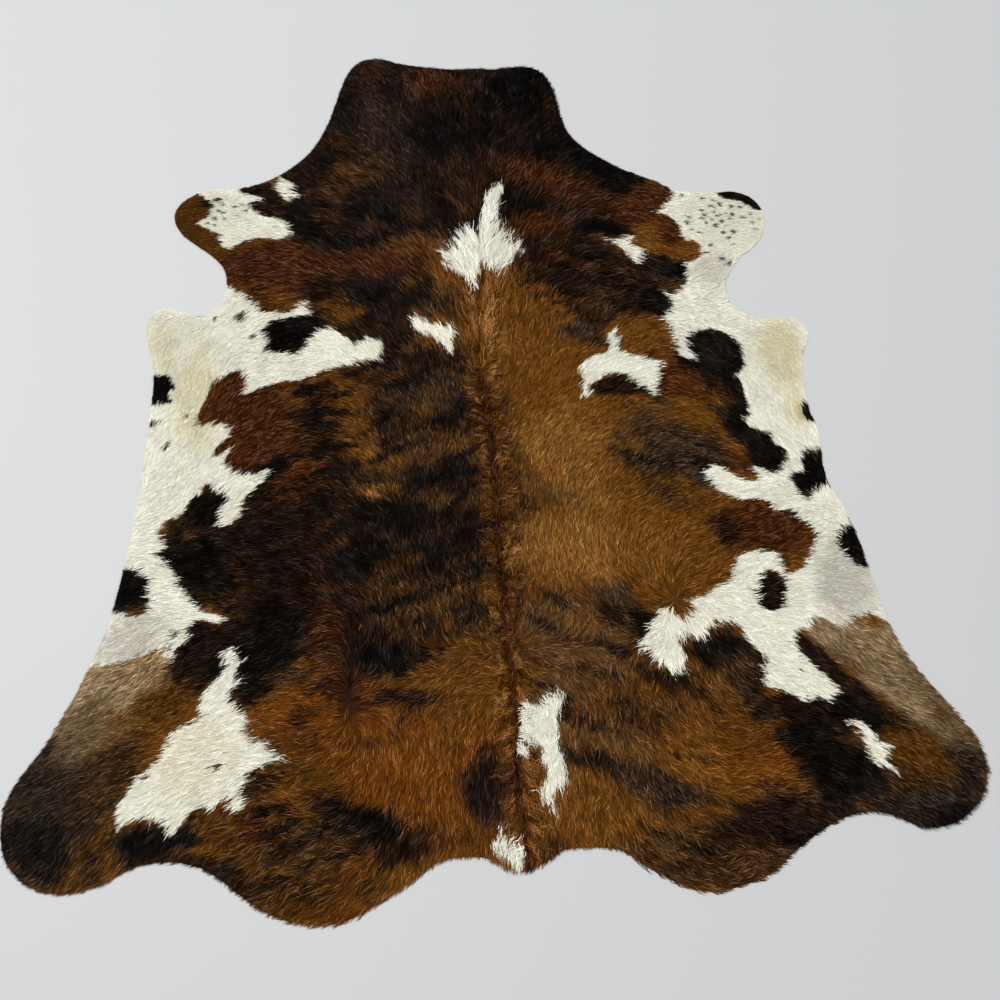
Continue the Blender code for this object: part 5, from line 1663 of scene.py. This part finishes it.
def along_strands(nodes, links):
    """Places on the strand map, drawn out along the hair."""
    strand = nodes.new("ShaderNodeUVMap")
    strand.uv_map = "strand"
    stretch = nodes.new("ShaderNodeMapping")
    stretch.inputs["Scale"].default_value = (3.2, 0.55, 1.0)
    links.new(strand.outputs["UV"], stretch.inputs["Vector"])
    return stretch.outputs["Vector"]


def over_hide(nodes, _):
    """Places on the hide itself."""
    return nodes.new("ShaderNodeTexCoord").outputs["Object"]


def hair_material(group):
    """Lying hair: each lock's own colour, drawn through by finer and darker hairs along it."""
    material, shader = coat_material("cow_hair", group, along_strands, grain=1.6, detail=2.0,
                                     darkest=0.60, brightest=1.34, strength=0.35, depth=0.4 * MM)
    set_finish(shader, 0.46, 0.02)
    return material


def undercoat_material(group):
    """The short dense undercoat between the locks: the coat's colour in shadow, mottled."""
    material, shader = coat_material("cow_undercoat", group, over_hide, grain=420.0, detail=3.0,
                                     darkest=0.6, brightest=1.25, strength=0.6, depth=1.0 * MM)
    set_finish(shader, 0.8, 0.1)
    return material


def flesh_material():
    """The tanned flesh side: pale suede with a fine nap and faint cloudy stains."""
    material, nodes, links, shader = new_material("suede_flesh_side")
    place = over_hide(nodes, links)
    cloud = add_noise(nodes, links, place, 6.0, 5.0)
    nap = add_noise(nodes, links, place, 500.0, 4.0)
    ramp = nodes.new("ShaderNodeValToRGB")
    darker, paler = ramp.color_ramp.elements
    darker.position, darker.color = 0.32, (0.40, 0.29, 0.19, 1.0)
    paler.position, paler.color = 0.68, (0.60, 0.48, 0.35, 1.0)
    links.new(cloud, ramp.inputs["Fac"])
    links.new(ramp.outputs["Color"], shader.inputs["Base Color"])
    add_relief(nodes, links, nap, 0.4, 0.6 * MM, shader)
    set_finish(shader, 0.92, 0.2)
    return material


# ---------------------------------------------------------------- floor, light, camera

def build_floor():
    """A plain pale floor, just under the hide."""
    places = np.array([[-1.0, -1.0, 0.0], [1.0, -1.0, 0.0], [1.0, 1.0, 0.0], [-1.0, 1.0, 0.0]])
    places = places * FLOOR_HALF - np.array([0.0, 0.0, FLOOR_DROP])
    material, _, _, shader = new_material("pale_floor")
    shader.inputs["Base Color"].default_value = FLOOR_COLOUR
    shader.inputs["Roughness"].default_value = 0.6
    floor = make_mesh("floor", places, np.arange(4), np.array([0]), (material,))


def build_light():
    """Even daylight from all round, and a large soft square light from the upper left, turned to
    the middle of the hide."""
    world = bpy.data.worlds.new("studio")
    world.use_nodes = True
    background = world.node_tree.nodes["Background"]
    background.inputs["Color"].default_value = DAYLIGHT_COLOUR
    background.inputs["Strength"].default_value = DAYLIGHT_STRENGTH
    bpy.context.scene.world = world
    data = bpy.data.lights.new("window", "AREA")
    data.shape = "SQUARE"
    data.size = WINDOW_SIZE
    data.energy = WINDOW_POWER
    data.color = WINDOW_COLOUR
    window = bpy.data.objects.new("window", data)
    window.location = WINDOW_PLACE
    window.rotation_euler = (-Vector(WINDOW_PLACE)).to_track_quat("-Z", "Y").to_euler()
    bpy.context.scene.collection.objects.link(window)


def build_camera():
    """The camera that sees the hide as the photograph does."""
    data = bpy.data.cameras.new("camera")
    data.lens = CAMERA_LENS
    data.sensor_width = CAMERA_SENSOR
    data.clip_start, data.clip_end = CAMERA_RANGE
    camera = bpy.data.objects.new("camera", data)
    camera.location = CAMERA_PLACE
    camera.rotation_mode = "XYZ"
    camera.rotation_euler = [math.radians(angle) for angle in CAMERA_TURN]
    bpy.context.scene.collection.objects.link(camera)
    bpy.context.scene.camera = camera


# ---------------------------------------------------------------- putting it together

build_camera()
build_light()
build_floor()
bpy.context.scene.view_settings.view_transform = "Standard"

drawn_hair = drawn_hair_group()
skin = build_skin(undercoat_material(drawn_hair), flesh_material())
coat = lay_coat(hair_material(drawn_hair))
for piece in [skin] + coat:
    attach(piece, "root")
    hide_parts("hide")
